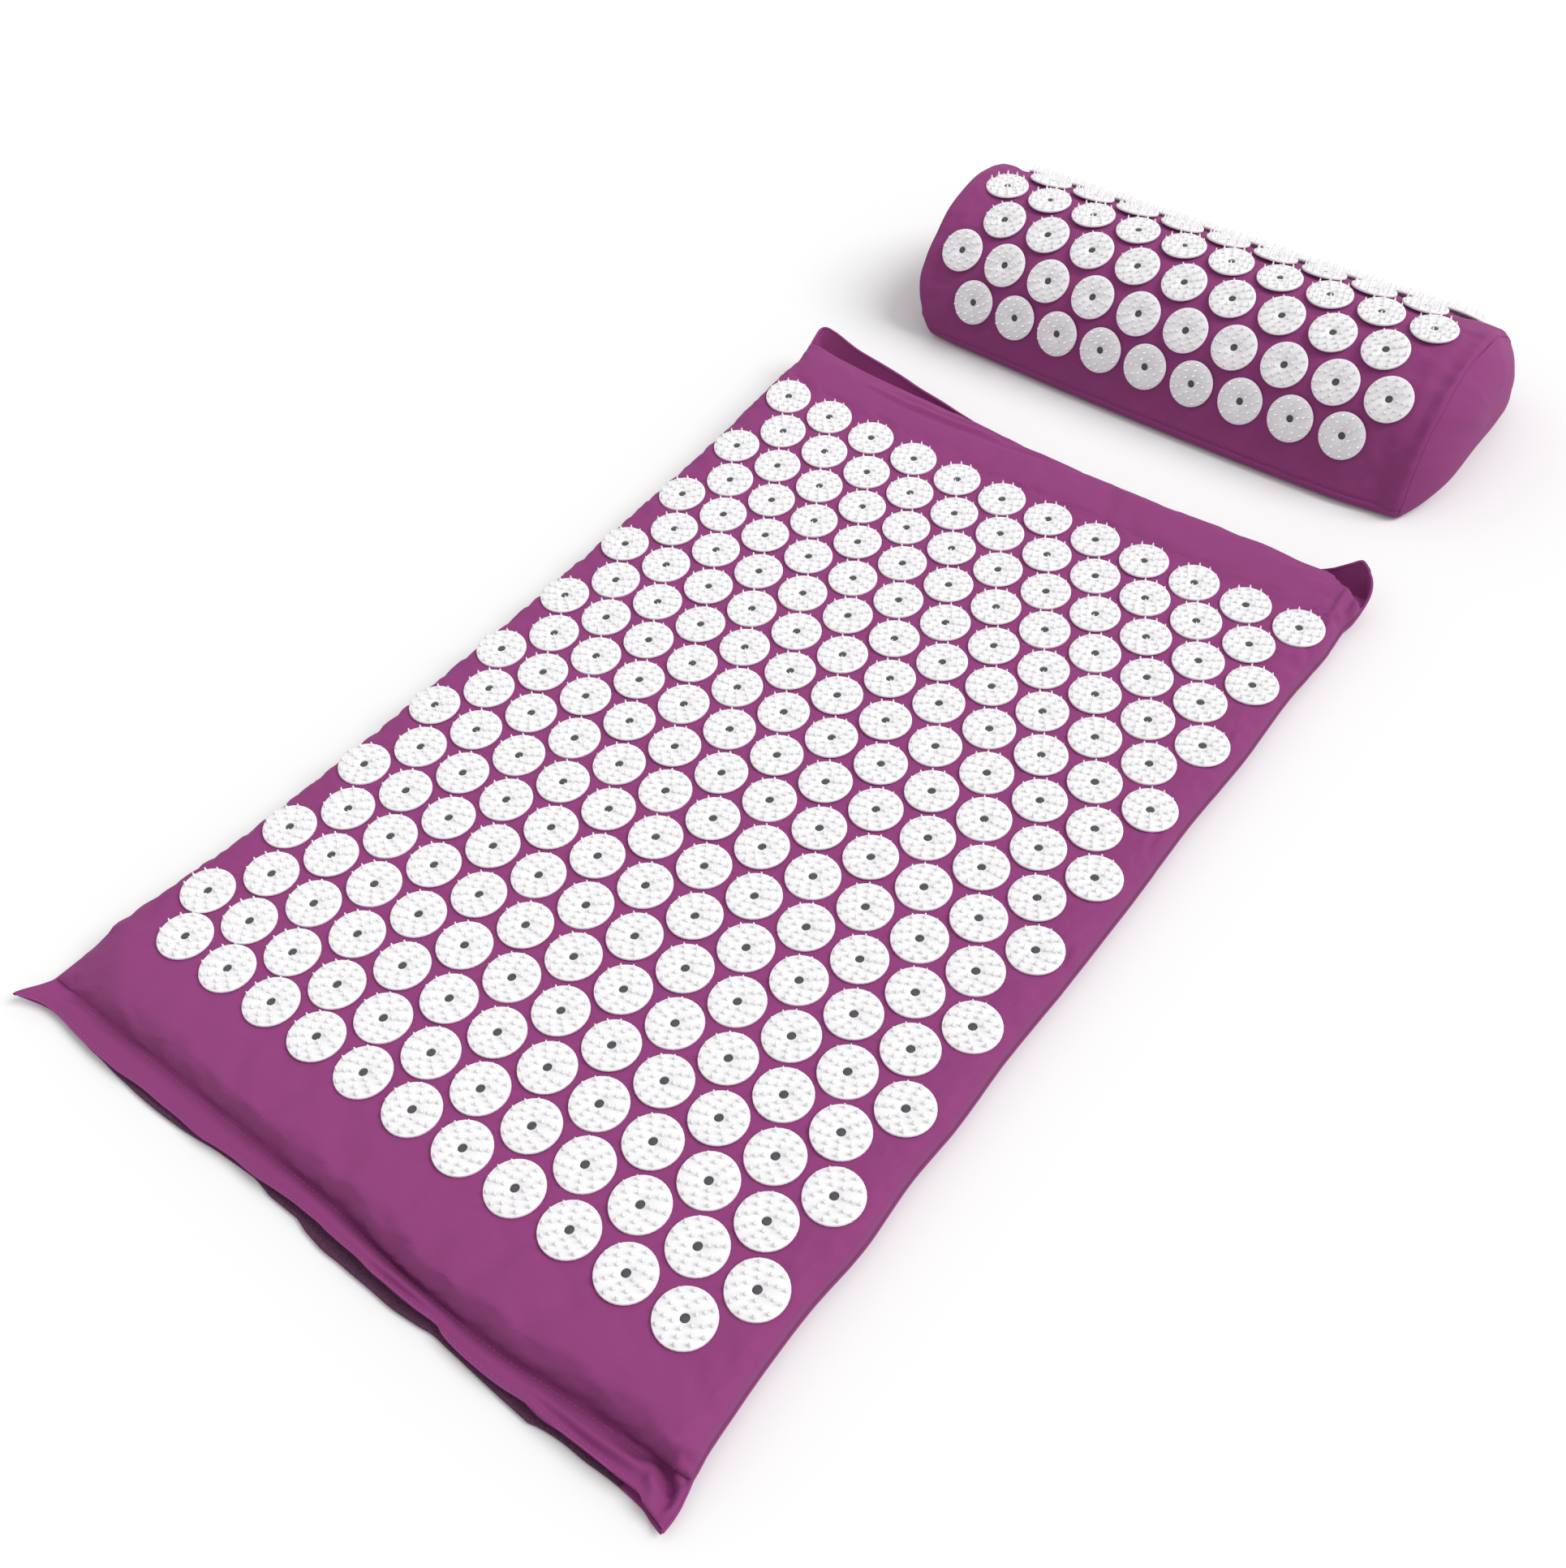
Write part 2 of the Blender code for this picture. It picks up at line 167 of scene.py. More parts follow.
class CoverSizes(bpy.types.PropertyGroup):
    cloth: FloatProperty(
        name="Cloth", description="Thickness of the cotton", default=0.0006, unit="LENGTH")
    puff: FloatProperty(
        name="Puff", description="How far the cloth swells between discs", default=0.0006, unit="LENGTH")
    unevenness: FloatProperty(
        name="Unevenness", description="Height of the slow waves in the cloth", default=0.0006,
        unit="LENGTH")
    pucker: FloatProperty(
        name="Pucker", description="Depth of the gathers beside the seams", default=0.0009,
        unit="LENGTH")
    seam_radius: FloatProperty(
        name="Seam radius", description="Half thickness of the rolled seam", default=0.0009,
        unit="LENGTH")
    hem_radius: FloatProperty(
        name="Hem radius", description="Half thickness of the folded hem", default=0.0005,
        unit="LENGTH")
    stitch_pitch: FloatProperty(
        name="Stitch pitch", description="Distance from stitch to stitch", default=0.0032,
        unit="LENGTH")
    thread_radius: FloatProperty(
        name="Thread radius", description="Half thickness of the sewing thread", default=0.0002,
        unit="LENGTH")
    tape: FloatProperty(
        name="Tape", description="Thickness of each half of the closure", default=0.0013,
        unit="LENGTH")


class DiscSizes(bpy.types.PropertyGroup):
    diameter: FloatProperty(
        name="Diameter", description="Outer diameter of a disc", default=0.029, unit="LENGTH")
    plate: FloatProperty(
        name="Plate", description="Thickness of the base plate", default=0.0016, unit="LENGTH")
    edge: FloatProperty(
        name="Edge radius", description="Rounding of the plate's rim", default=0.0006,
        unit="LENGTH")
    hole: FloatProperty(
        name="Hole", description="Diameter of the hole in the middle", default=0.0046,
        unit="LENGTH")
    spike_height: FloatProperty(
        name="Spike height", description="Height of a spike above its plate", default=0.0036,
        unit="LENGTH")
    spike_base: FloatProperty(
        name="Spike foot", description="Radius of a spike's foot", default=0.0010, unit="LENGTH")
    spike_tip: FloatProperty(
        name="Spike tip", description="Radius of a spike's blunt point", default=0.00028,
        unit="LENGTH")
    lean: FloatProperty(
        name="Lean", description="Most that a disc leans on the soft cloth",
        default=math.radians(1.2), subtype="ANGLE")


class MatColours(bpy.types.PropertyGroup):
    cotton: FloatVectorProperty(
        name="Cotton", description="Dyed cotton of both covers", default=(0.287, 0.050, 0.198),
        subtype="COLOR", min=0, max=1)
    plastic: FloatVectorProperty(
        name="Plastic", description="Moulded discs", default=(0.985, 0.965, 0.985),
        subtype="COLOR", min=0, max=1)
    # The pins are near black: partly their own colour, partly painted shade for the depth of the discs'
    # holes.
    pin: FloatVectorProperty(
        name="Pin", description="Pins that hold the discs", default=(0.075, 0.065, 0.08),
        subtype="COLOR", min=0, max=1)
    tape: FloatVectorProperty(
        name="Tape", description="Hook and loop tape", default=(0.10, 0.028, 0.075),
        subtype="COLOR", min=0, max=1)
    thread: FloatVectorProperty(
        name="Thread", description="Sewing thread", default=(0.34, 0.095, 0.27),
        subtype="COLOR", min=0, max=1)
    foam: FloatVectorProperty(
        name="Foam", description="Foam cores", default=(0.62, 0.62, 0.60),
        subtype="COLOR", min=0, max=1)
    floor: FloatVectorProperty(
        name="Floor", description="Studio floor", default=(0.97, 0.97, 0.97),
        subtype="COLOR", min=0, max=1)


# Curves and surfaces

def smooth_curve(points):
    """A smooth function through (place, value) points, which never swings past them."""
    places = np.array([place for place, value in points], float)
    values = np.array([value for place, value in points], float)
    secants = np.diff(values) / np.diff(places)
    product = secants[:-1] * secants[1:]
    slopes = np.concatenate([secants[:1], np.zeros(len(product)), secants[-1:]])
    steady = product > 0
    slopes[1:-1][steady] = 2 * product[steady] / (secants[:-1] + secants[1:])[steady]

    def curve(place):
        place = np.clip(place, places[0], places[-1])
        i = np.clip(np.searchsorted(places, place) - 1, 0, len(places) - 2)
        span = places[i + 1] - places[i]
        t = (place - places[i]) / span
        start = (2 * t ** 3 - 3 * t ** 2 + 1) * values[i] + (t ** 3 - 2 * t ** 2 + t) * span * slopes[i]
        finish = (3 * t ** 2 - 2 * t ** 3) * values[i + 1] + (t ** 3 - t ** 2) * span * slopes[i + 1]
        return start + finish
    return curve


def ease(value):
    """0 to 1 with level ends."""
    value = np.clip(value, 0, 1)
    return value * value * (3 - 2 * value)


def round_rise(share, power=SHOULDER_POWER):
    """Height of a full, rounded shoulder at a share of its width."""
    share = np.clip(share, 0, 1)
    return (1 - (1 - share) ** power) ** (1 / power)


def rounded_steps(count, power=SHOULDER_POWER):
    """Shares of a rounded shoulder's width at places that lie evenly along it."""
    angles = np.linspace(0, math.pi / 2, count)
    return 1 - np.cos(angles) ** (2 / power)


def noise_at(points, size, seed):
    """Soft noise between about -1 and 1, with waves of the given size."""
    shift = Vector((seed * 7.3, seed * 3.1, seed * 5.7))
    flat = points.reshape(-1, 3) / size
    values = [noise.noise(Vector(point) + shift) for point in flat]
    return np.array(values).reshape(points.shape[:-1]) * 1.6


def grid_normals(points):
    """Unit normals of a grid of points."""
    along = np.gradient(points, axis=0)
    across = np.gradient(points, axis=1)
    normals = np.cross(across, along)
    return normals / np.maximum(np.linalg.norm(normals, axis=-1, keepdims=True), 1e-12)


def lengths_along(points, axis):
    """Distance run along a grid, in metres, for the weave."""
    steps = np.linalg.norm(np.diff(points, axis=axis), axis=-1)
    start = np.zeros_like(np.take(steps, [0], axis=axis))
    return np.concatenate([start, np.cumsum(steps, axis=axis)], axis=axis)


def grid_mesh(name, points, closed=False):
    """A mesh on rows of points, with its run in metres as the map for the weave."""
    rows, columns = points.shape[:2]
    index = np.arange(rows * columns).reshape(rows, columns)
    if closed:
        index = np.concatenate([index, index[:, :1]], axis=1)
    corners = np.stack([index[:-1, :-1], index[:-1, 1:], index[1:, 1:], index[1:, :-1]], axis=-1)
    mesh = bpy.data.meshes.new(name)
    mesh.from_pydata(points.reshape(-1, 3).tolist(), [], corners.reshape(-1, 4).tolist())
    u = lengths_along(points, 1)
    v = lengths_along(points, 0)
    u = u - u[:, columns // 2:columns // 2 + 1]
    run = np.stack([u, v], axis=-1).reshape(-1, 2)
    corner_index = np.zeros(len(mesh.loops), int)
    mesh.loops.foreach_get("vertex_index", corner_index)
    weave_map = mesh.uv_layers.new(name="UVMap")
    weave_map.data.foreach_set("uv", run[corner_index].ravel())
    mesh.shade_smooth()
    return mesh


def add_piece(mesh, body, material):
    """A piece of the object, which rides on a body and bears its mesh's name."""
    piece = bpy.data.objects.new(mesh.name, mesh)
    bpy.context.scene.collection.objects.link(piece)
    mesh.materials.append(material)
    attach(piece, body)
    return piece


def thicken(piece, thickness):
    """Give a cloth surface its thickness, on its inner side."""
    skin = piece.modifiers.new("cloth thickness", "SOLIDIFY")
    skin.thickness = thickness
    skin.offset = -1
    skin.use_even_offset = False


def level_ring(builder, centre, radius, sides):
    """A level ring of points round a centre."""
    ring = []
    for i in range(sides):
        angle = 2 * math.pi * i / sides
        offset = Vector((radius * math.cos(angle), radius * math.sin(angle), 0))
        ring.append(builder.verts.new(centre + offset))
    return ring


def bridge_rings(builder, rings, closed=False):
    """Join each ring of points to the next one, and in a closed row the last to the first."""
    following = rings[1:] + rings[:1] if closed else rings[1:]
    for first, second in zip(rings, following):
        for i in range(len(first)):
            j = (i + 1) % len(first)
            builder.faces.new((first[i], first[j], second[j], second[i]))


def cap_rings(builder, rings):
    """Close the first and the last ring of a row."""
    builder.faces.new(rings[0][::-1])
    builder.faces.new(rings[-1])


def built_mesh(name, builder):
    """A smooth mesh of what the builder holds. The builder is freed."""
    mesh = bpy.data.meshes.new(name)
    builder.to_mesh(mesh)
    builder.free()
    mesh.shade_smooth()
    return mesh


def tube_mesh(name, path, radius, closed=False, flatten=1.0):
    """A tube along a path, as rings of points with flat ends."""
    path = np.array(path, float)
    ahead = np.roll(path, -1, axis=0)
    behind = np.roll(path, 1, axis=0)
    if not closed:
        ahead[-1] = path[-1]
        behind[0] = path[0]
    tangent = ahead - behind
    tangent /= np.maximum(np.linalg.norm(tangent, axis=1, keepdims=True), 1e-12)
    side = np.cross(tangent, (0, 0, 1.0))
    side /= np.maximum(np.linalg.norm(side, axis=1, keepdims=True), 1e-12)
    up = np.cross(side, tangent)
    angles = np.linspace(0, 2 * math.pi, TUBE_SIDES, endpoint=False)
    circles = (path[:, None]
               + radius * np.cos(angles)[None, :, None] * side[:, None]
               + radius * flatten * np.sin(angles)[None, :, None] * up[:, None])
    builder = bmesh.new()
    rings = [[builder.verts.new(point) for point in circle] for circle in circles]
    bridge_rings(builder, rings, closed)
    if not closed:
        cap_rings(builder, rings)
    bmesh.ops.recalc_face_normals(builder, faces=builder.faces)
    return built_mesh(name, builder)


def settle_cloth(points, held):
    """Let cloth swell softly between its held places, and give back where it settles.

    Held is 1 where the cloth is sewn or pinned down, 0 where it is free.
    """
    scene = bpy.context.scene
    cloth = bpy.data.objects.new("settling cloth", grid_mesh("settling cloth", points))
    scene.collection.objects.link(cloth)
    group = cloth.vertex_groups.new(name="held")
    for index, weight in enumerate(held.ravel()):
        group.add([index], float(weight), "REPLACE")
    settle = cloth.modifiers.new("settle", "CLOTH")
    settings = settle.settings
    settings.quality = 6
    settings.mass = 0.001
    settings.air_damping = 1.0
    settings.tension_stiffness = 6
    settings.compression_stiffness = 6
    settings.shear_stiffness = 3
    settings.bending_stiffness = 0.02
    settings.vertex_group_mass = "held"
    settings.shrink_min = -SETTLE_SLACK
    settings.use_pressure = True
    settings.uniform_pressure_force = SETTLE_PRESSURE
    settings.effector_weights.gravity = 0
    settle.collision_settings.use_collision = False
    settle.point_cache.frame_start = 1
    settle.point_cache.frame_end = SETTLE_FRAMES
    for frame_number in range(1, SETTLE_FRAMES + 1):
        scene.frame_set(frame_number)
    settled_mesh = cloth.evaluated_get(bpy.context.evaluated_depsgraph_get()).to_mesh()
    settled = np.zeros(len(settled_mesh.vertices) * 3)
    settled_mesh.vertices.foreach_get("co", settled)
    mesh = cloth.data
    bpy.data.objects.remove(cloth)
    bpy.data.meshes.remove(mesh)
    scene.frame_set(1)
    moved = settled.reshape(points.shape) - points
    distance = np.maximum(np.linalg.norm(moved, axis=-1, keepdims=True), 1e-9)
    return points + moved * (SETTLE_MOST * np.tanh(distance / SETTLE_MOST) / distance)


# Materials

def new_material(name):
    material = bpy.data.materials.new(name)
    material.use_nodes = True
    tree = material.node_tree
    return material, tree, tree.nodes["Principled BSDF"]


def add_node(tree, kind, inputs=(), **settings):
    """A node with its settings, and its inputs given as (name or number, value or socket)."""
    node = tree.nodes.new(kind)
    for key, value in settings.items():
        setattr(node, key, value)
    for key, value in inputs:
        if isinstance(value, bpy.types.NodeSocket):
            tree.links.new(value, node.inputs[key])
        else:
            node.inputs[key].default_value = value
    return node


def math_node(tree, operation, first, second=0.0, third=0.0):
    inputs = ((0, first), (1, second), (2, third))
    return add_node(tree, "ShaderNodeMath", inputs, operation=operation).outputs[0]


def shade(colour, factor):
    return tuple(min(1.0, channel * factor) for channel in colour) + (1.0,)


def mix_colours(tree, factor, first, second):
    """Mix two colours, each a value or a socket, by a factor."""
    inputs = (("Factor", factor), (MIX_FIRST, first), (MIX_SECOND, second))
    return add_node(tree, "ShaderNodeMix", inputs, data_type="RGBA").outputs[MIX_RESULT]


def own_texture(tree, kind, scale, *inputs, **settings):
    """A texture that lies in the piece's own coordinates."""
    place = add_node(tree, "ShaderNodeTexCoord").outputs["Object"]
    return add_node(tree, kind, (("Vector", place), ("Scale", scale)) + inputs, **settings)


def set_colour(tree, shader, factor, first, second):
    """Mix a material's colour from two."""
    tree.links.new(mix_colours(tree, factor, first, second), shader.inputs["Base Color"])


def set_roughness(tree, shader, share, low, high):
    """Let a material's roughness run between two values."""
    rough = add_node(tree, "ShaderNodeMapRange", (("Value", share), ("To Min", low), ("To Max", high)))
    tree.links.new(rough.outputs["Result"], shader.inputs["Roughness"])


def set_relief(tree, shader, height, strength, distance):
    """Give a material a fine relief."""
    inputs = (("Strength", strength), ("Distance", distance), ("Height", height))
    bump = add_node(tree, "ShaderNodeBump", inputs)
    tree.links.new(bump.outputs["Normal"], shader.inputs["Normal"])


def weave_height(tree, pitch):
    """Over and under threads of a plain weave, from the cloth's own map."""
    cloth_map = add_node(tree, "ShaderNodeUVMap", uv_map="UVMap")
    parts = add_node(tree, "ShaderNodeSeparateXYZ", (("Vector", cloth_map.outputs["UV"]),))
    waves = []
    for axis in ("X", "Y"):
        turned = math_node(tree, "MULTIPLY", parts.outputs[axis], math.pi / pitch)
        waves.append(math_node(tree, "SINE", turned))
    return math_node(tree, "MULTIPLY", waves[0], waves[1])


def cotton_material(name, colour):
    """Plain woven cotton: thread relief, slubs, slow unevenness in the dye and a soft sheen."""
    weave_pitch = 0.00055
    dye_contrast = 0.05
    dye_share = 0.78
    fleck_shade = 0.86
    material, tree, shader = new_material(name)
    slow = own_texture(tree, "ShaderNodeTexNoise", 22.0, ("Detail", 3.0)).outputs["Fac"]
    fine = own_texture(tree, "ShaderNodeTexNoise", 900.0, ("Detail", 2.0)).outputs["Fac"]
    threads = weave_height(tree, weave_pitch)
    dye = mix_colours(tree, slow, shade(colour, 1 - dye_contrast), shade(colour, 1 + dye_contrast))
    # Darker flecks from fine noise, deepest in the weave's lower cells.
    flecks = math_node(tree, "MULTIPLY", fine, math_node(tree, "MULTIPLY_ADD", threads, 0.35, 0.5))
    flecked = mix_colours(tree, flecks, shade(colour, fleck_shade), dye)
    set_colour(tree, shader, dye_share, flecked, dye)
    set_roughness(tree, shader, slow, low=0.78, high=0.9)
    set_relief(tree, shader, math_node(tree, "ADD", threads, fine), strength=0.35, distance=0.00015)
    shader.inputs["Sheen Weight"].default_value = 0.12
    shader.inputs["Sheen Roughness"].default_value = 0.45
    shader.inputs["Sheen Tint"].default_value = (0.85, 0.55, 0.8, 1)
    shader.inputs["Specular IOR Level"].default_value = 0.25
    return material


def plastic_material(name, colour, roughness, mottle=0.015, glow=0.0):
    """Moulded plastic with a faint flow pattern. Glow is how much light soaks through."""
    material, tree, shader = new_material(name)
    flow = own_texture(tree, "ShaderNodeTexNoise", 120.0, ("Detail", 2.0)).outputs["Fac"]
    grain = own_texture(tree, "ShaderNodeTexNoise", 2600.0, ("Detail", 1.0)).outputs["Fac"]
    set_colour(tree, shader, flow, shade(colour, 1 - mottle), shade(colour, 1.0))
    set_roughness(tree, shader, flow, low=roughness - 0.05, high=roughness + 0.08)
    set_relief(tree, shader, grain, strength=0.1, distance=0.00005)
    shader.inputs["Subsurface Weight"].default_value = glow
    shader.inputs["Subsurface Radius"].default_value = (1.0, 0.9, 0.95)
    shader.inputs["Subsurface Scale"].default_value = 0.002
    return material


def cell_material(name, colour, scale, light, dark, strength, roughness):
    """A matt body of small cells: the cells of open foam, or the pile of a tape."""
    material, tree, shader = new_material(name)
    cells = own_texture(tree, "ShaderNodeTexVoronoi", scale).outputs["Distance"]
    set_colour(tree, shader, cells, shade(colour, light), shade(colour, dark))
    set_relief(tree, shader, cells, strength, distance=0.0004)
    shader.inputs["Roughness"].default_value = roughness
    return material


def foam_material(name, colour):
    """Open-cell foam: small dark cells in a light matt body."""
    return cell_material(name, colour, scale=900.0, light=1.0, dark=0.6, strength=0.6, roughness=0.95)


def tape_material(name, colour, pile_scale):
    """Hook or loop tape: a dense pile of tiny hooks or loops."""
    return cell_material(
        name, colour, scale=pile_scale, light=1.5, dark=0.5, strength=0.8, roughness=0.85)


def thread_material(name, colour):
    """Twisted sewing thread."""
    material, tree, shader = new_material(name)
    twist = own_texture(tree, "ShaderNodeTexWave", 900.0, bands_direction="DIAGONAL").outputs["Fac"]
    set_colour(tree, shader, twist, shade(colour, 0.75), shade(colour, 1.1))
    shader.inputs["Roughness"].default_value = 0.6
    return material


def finishes():
    """The materials, made once and shared by the pieces."""
    colours = bpy.context.scene.mat_colours
    # The hems get a lighter copy of the cotton: a painted highlight along their folded edge.
    hem_painted_highlight = 1.18
    hem_highlight_colour = [hem_painted_highlight * channel for channel in colours.cotton]
    makers = {
        "purple cotton": lambda name: cotton_material(name, colours.cotton),
        "hem cotton": lambda name: cotton_material(name, hem_highlight_colour),
        "white plastic": lambda name: plastic_material(name, colours.plastic, 0.42, glow=0.5),
        # The pins' near black is partly painted shade in the discs' holes.
        "grey pin": lambda name: plastic_material(name, colours.pin, 0.5, mottle=0.2),
        "cushion foam": lambda name: foam_material(name, colours.foam),
        "hook tape": lambda name: tape_material(name, colours.tape, 1300.0),
        "loop tape": lambda name: tape_material(name, colours.tape, 2100.0),
        "plum thread": lambda name: thread_material(name, colours.thread),
    }
    return {name: bpy.data.materials.get(name) or make(name) for name, make in makers.items()}


# Shape of the mat's cover

# Along the mouth, by place across: how far each lip stands back from the mouth line
lower_lip_back = smooth_curve((
    (-0.2015, 0.0076), (-0.19, 0.0081), (-0.18, 0.0070), (-0.165, 0.0051), (-0.155, 0.0044),
    (-0.148, 0.0037), (-0.13, 0.0028), (-0.12, 0.0026), (-0.103, 0.0030), (-0.0875, 0.0041),
    (-0.08, 0.0052), (-0.07, 0.0064), (-0.056, 0.0071), (-0.048, 0.0071), (-0.04, 0.0064),
    (-0.0326, 0.0053), (-0.0146, 0.0056), (-0.006, 0.0037), (0.0115, 0.0023), (0.03, 0.0024),
    (0.051, 0.0018), (0.0714, 0.0035), (0.077, 0.0041), (0.09, 0.0034), (0.101, 0.0025),
    (0.1178, 0.0020), (0.1359, 0.0013), (0.1403, 0.0030), (0.1557, 0.0043), (0.1636, 0.0042),
    (0.1817, 0.0042), (0.19, 0.0038), (0.197, 0.0022), (0.2015, 0.0020)))
upper_lip_back = smooth_curve((
    (-0.2015, 0.0068), (-0.193, 0.0074), (-0.185, 0.0068), (-0.175, 0.0054), (-0.165, 0.0045),
    (-0.155, 0.0040), (-0.145, 0.0038), (-0.1228, 0.0046), (-0.1026, 0.0051), (-0.092, 0.0048),
    (-0.08, 0.0044), (-0.07, 0.0056), (-0.0586, 0.0066), (-0.0456, 0.0068), (-0.024, 0.0081),
    (-0.0007, 0.0082), (0.0054, 0.0074), (0.027, 0.0068), (0.041, 0.0059), (0.0614, 0.0060),
    (0.077, 0.0071), (0.0839, 0.0050), (0.1018, 0.0036), (0.1177, 0.0038), (0.1308, 0.0050),
    (0.138, 0.0040), (0.1512, 0.0048), (0.164, 0.0055), (0.1777, 0.0055), (0.1883, 0.0066),
    (0.1915, 0.0050), (0.2015, 0.0042)))
# Height of the upper lip's edge
upper_lip_height = smooth_curve((
    (-0.2015, 0.0034), (-0.18, 0.0040), (-0.15, 0.0048), (-0.13, 0.0048), (-0.105, 0.0042),
    (-0.087, 0.0048), (-0.057, 0.0054), (-0.03, 0.0064), (0.0, 0.0080), (0.03, 0.0088),
    (0.06, 0.0078), (0.09, 0.0062), (0.11, 0.0060), (0.135, 0.0070), (0.165, 0.0080),
    (0.185, 0.0076), (0.2015, 0.0042)))
# Line of the groove between the mouth and the foam
groove_line = smooth_curve((
    (-0.2015, -0.3045), (-0.164, -0.3035), (-0.10, -0.3030), (-0.05, -0.3030), (0.0, -0.3035),
    (0.036, -0.3068), (0.065, -0.3080), (0.108, -0.3070), (0.135, -0.3045), (0.163, -0.3020),
    (0.2015, -0.3010)))
groove_height = smooth_curve((
    (-0.2015, 0.0036), (-0.1, 0.0046), (0.0, 0.0030), (0.065, 0.0022), (0.15, 0.0022),
    (0.2015, 0.0026)))
# The far end of the cover, how far the flange reaches past it, and the height of its edge
far_end = smooth_curve((
    (-0.2015, 0.3150), (-0.16, 0.3160), (-0.11, 0.3170), (-0.077, 0.3180), (-0.05, 0.3175),
    (-0.02, 0.3165), (0.02, 0.3155), (0.08, 0.3150), (0.134, 0.3162), (0.172, 0.3168),
    (0.2015, 0.3158)))
flange_reach = smooth_curve((
    (-0.2015, 0.0150), (-0.19, 0.0142), (-0.167, 0.0108), (-0.152, 0.0106), (-0.138, 0.0100),
    (-0.121, 0.0082), (-0.105, 0.0068), (-0.084, 0.0056), (-0.06, 0.0048), (0.0, 0.0046),
    (0.08, 0.0044), (0.15, 0.0048), (0.172, 0.0060), (0.183, 0.0082), (0.1925, 0.0118),
    (0.2015, 0.0122)))
flange_height = smooth_curve((
    (-0.2015, 0.0198), (-0.19, 0.0197), (-0.167, 0.0190), (-0.152, 0.0180), (-0.138, 0.0170),
    (-0.121, 0.0155), (-0.105, 0.0148), (-0.084, 0.0120), (-0.06, 0.0090), (-0.03, 0.0064),
    (0.0, 0.0042), (0.14, 0.0042), (0.160, 0.0070), (0.174, 0.0140), (0.184, 0.0215),
    (0.1925, 0.0250), (0.2015, 0.0225)))
# Side seams, by place along: distance from the middle, and height
left_seam_place = smooth_curve((
    (-0.330, 0.2205), (-0.318, 0.2185), (-0.305, 0.2150), (-0.281, 0.2105), (-0.245, 0.2050),
    (-0.20, 0.1992), (-0.147, 0.1962), (-0.10, 0.1947), (-0.02, 0.1947), (0.06, 0.1952),
    (0.148, 0.1962), (0.195, 0.1967), (0.244, 0.1972), (0.294, 0.1984), (0.318, 0.2030),
    (0.345, 0.2055)))
right_seam_place = smooth_curve((
    (-0.330, 0.2110), (-0.315, 0.2120), (-0.297, 0.2092), (-0.279, 0.2072), (-0.25, 0.2050),
    (-0.22, 0.2042), (-0.18, 0.2062), (-0.14, 0.2040), (-0.107, 0.2050), (-0.06, 0.2034),
    (-0.01, 0.2042), (0.049, 0.2038), (0.112, 0.2022), (0.164, 0.2034), (0.22, 0.2018),
    (0.26, 0.2032), (0.285, 0.2018), (0.298, 0.2040), (0.309, 0.2042), (0.329, 0.2035),
    (0.345, 0.2030)))
left_seam_height = smooth_curve((
    (-0.330, 0.0036), (-0.312, 0.0042), (-0.300, 0.0062), (-0.285, 0.0085), (-0.26, SEAM_Z),
    (0.27, SEAM_Z), (0.295, 0.0110), (0.310, 0.0150), (0.325, 0.0195), (0.345, 0.0200)))
right_seam_height = smooth_curve((
    (-0.330, 0.0036), (-0.314, 0.0044), (-0.302, 0.0078), (-0.290, 0.0100), (-0.26, SEAM_Z),
    (0.28, SEAM_Z), (0.296, 0.0105), (0.306, 0.0140), (0.315, 0.0190), (0.328, 0.0225),
    (0.345, 0.0230)))

# Corners drawn out into ears: how far each tip goes across, along and up
NEAR_LEFT_EAR = (-0.0050, -0.0074, 0.0040)
NEAR_RIGHT_EAR = (0.0006, -0.0022, 0.0016)
FAR_LEFT_EAR = (-0.0028, 0.0046, 0.0010)
FAR_RIGHT_EAR = (0.0, 0.0, 0.0)
NEAR_EAR_POWER = 30
FAR_EAR_POWER = 9
CORNER_LIFT = 0.0085

# The far corners of the cover are round in plan: side, place across and along, radius
ROUND_CORNERS = ((1, 0.2035, 0.3282, 0.020), (-1, 0.2070, 0.3345, 0.009))

# Corners where the top is pressed down: a point on the line where that starts, the way across
# it, the depth, and the width over which it comes
PRESSED_CORNERS = (
    ((0.1811, 0.3111), (0.572, 0.820), 0.0105, 0.0052),
    ((-0.1680, -0.2840), (-0.64, -0.77), 0.0122, 0.0320),
)

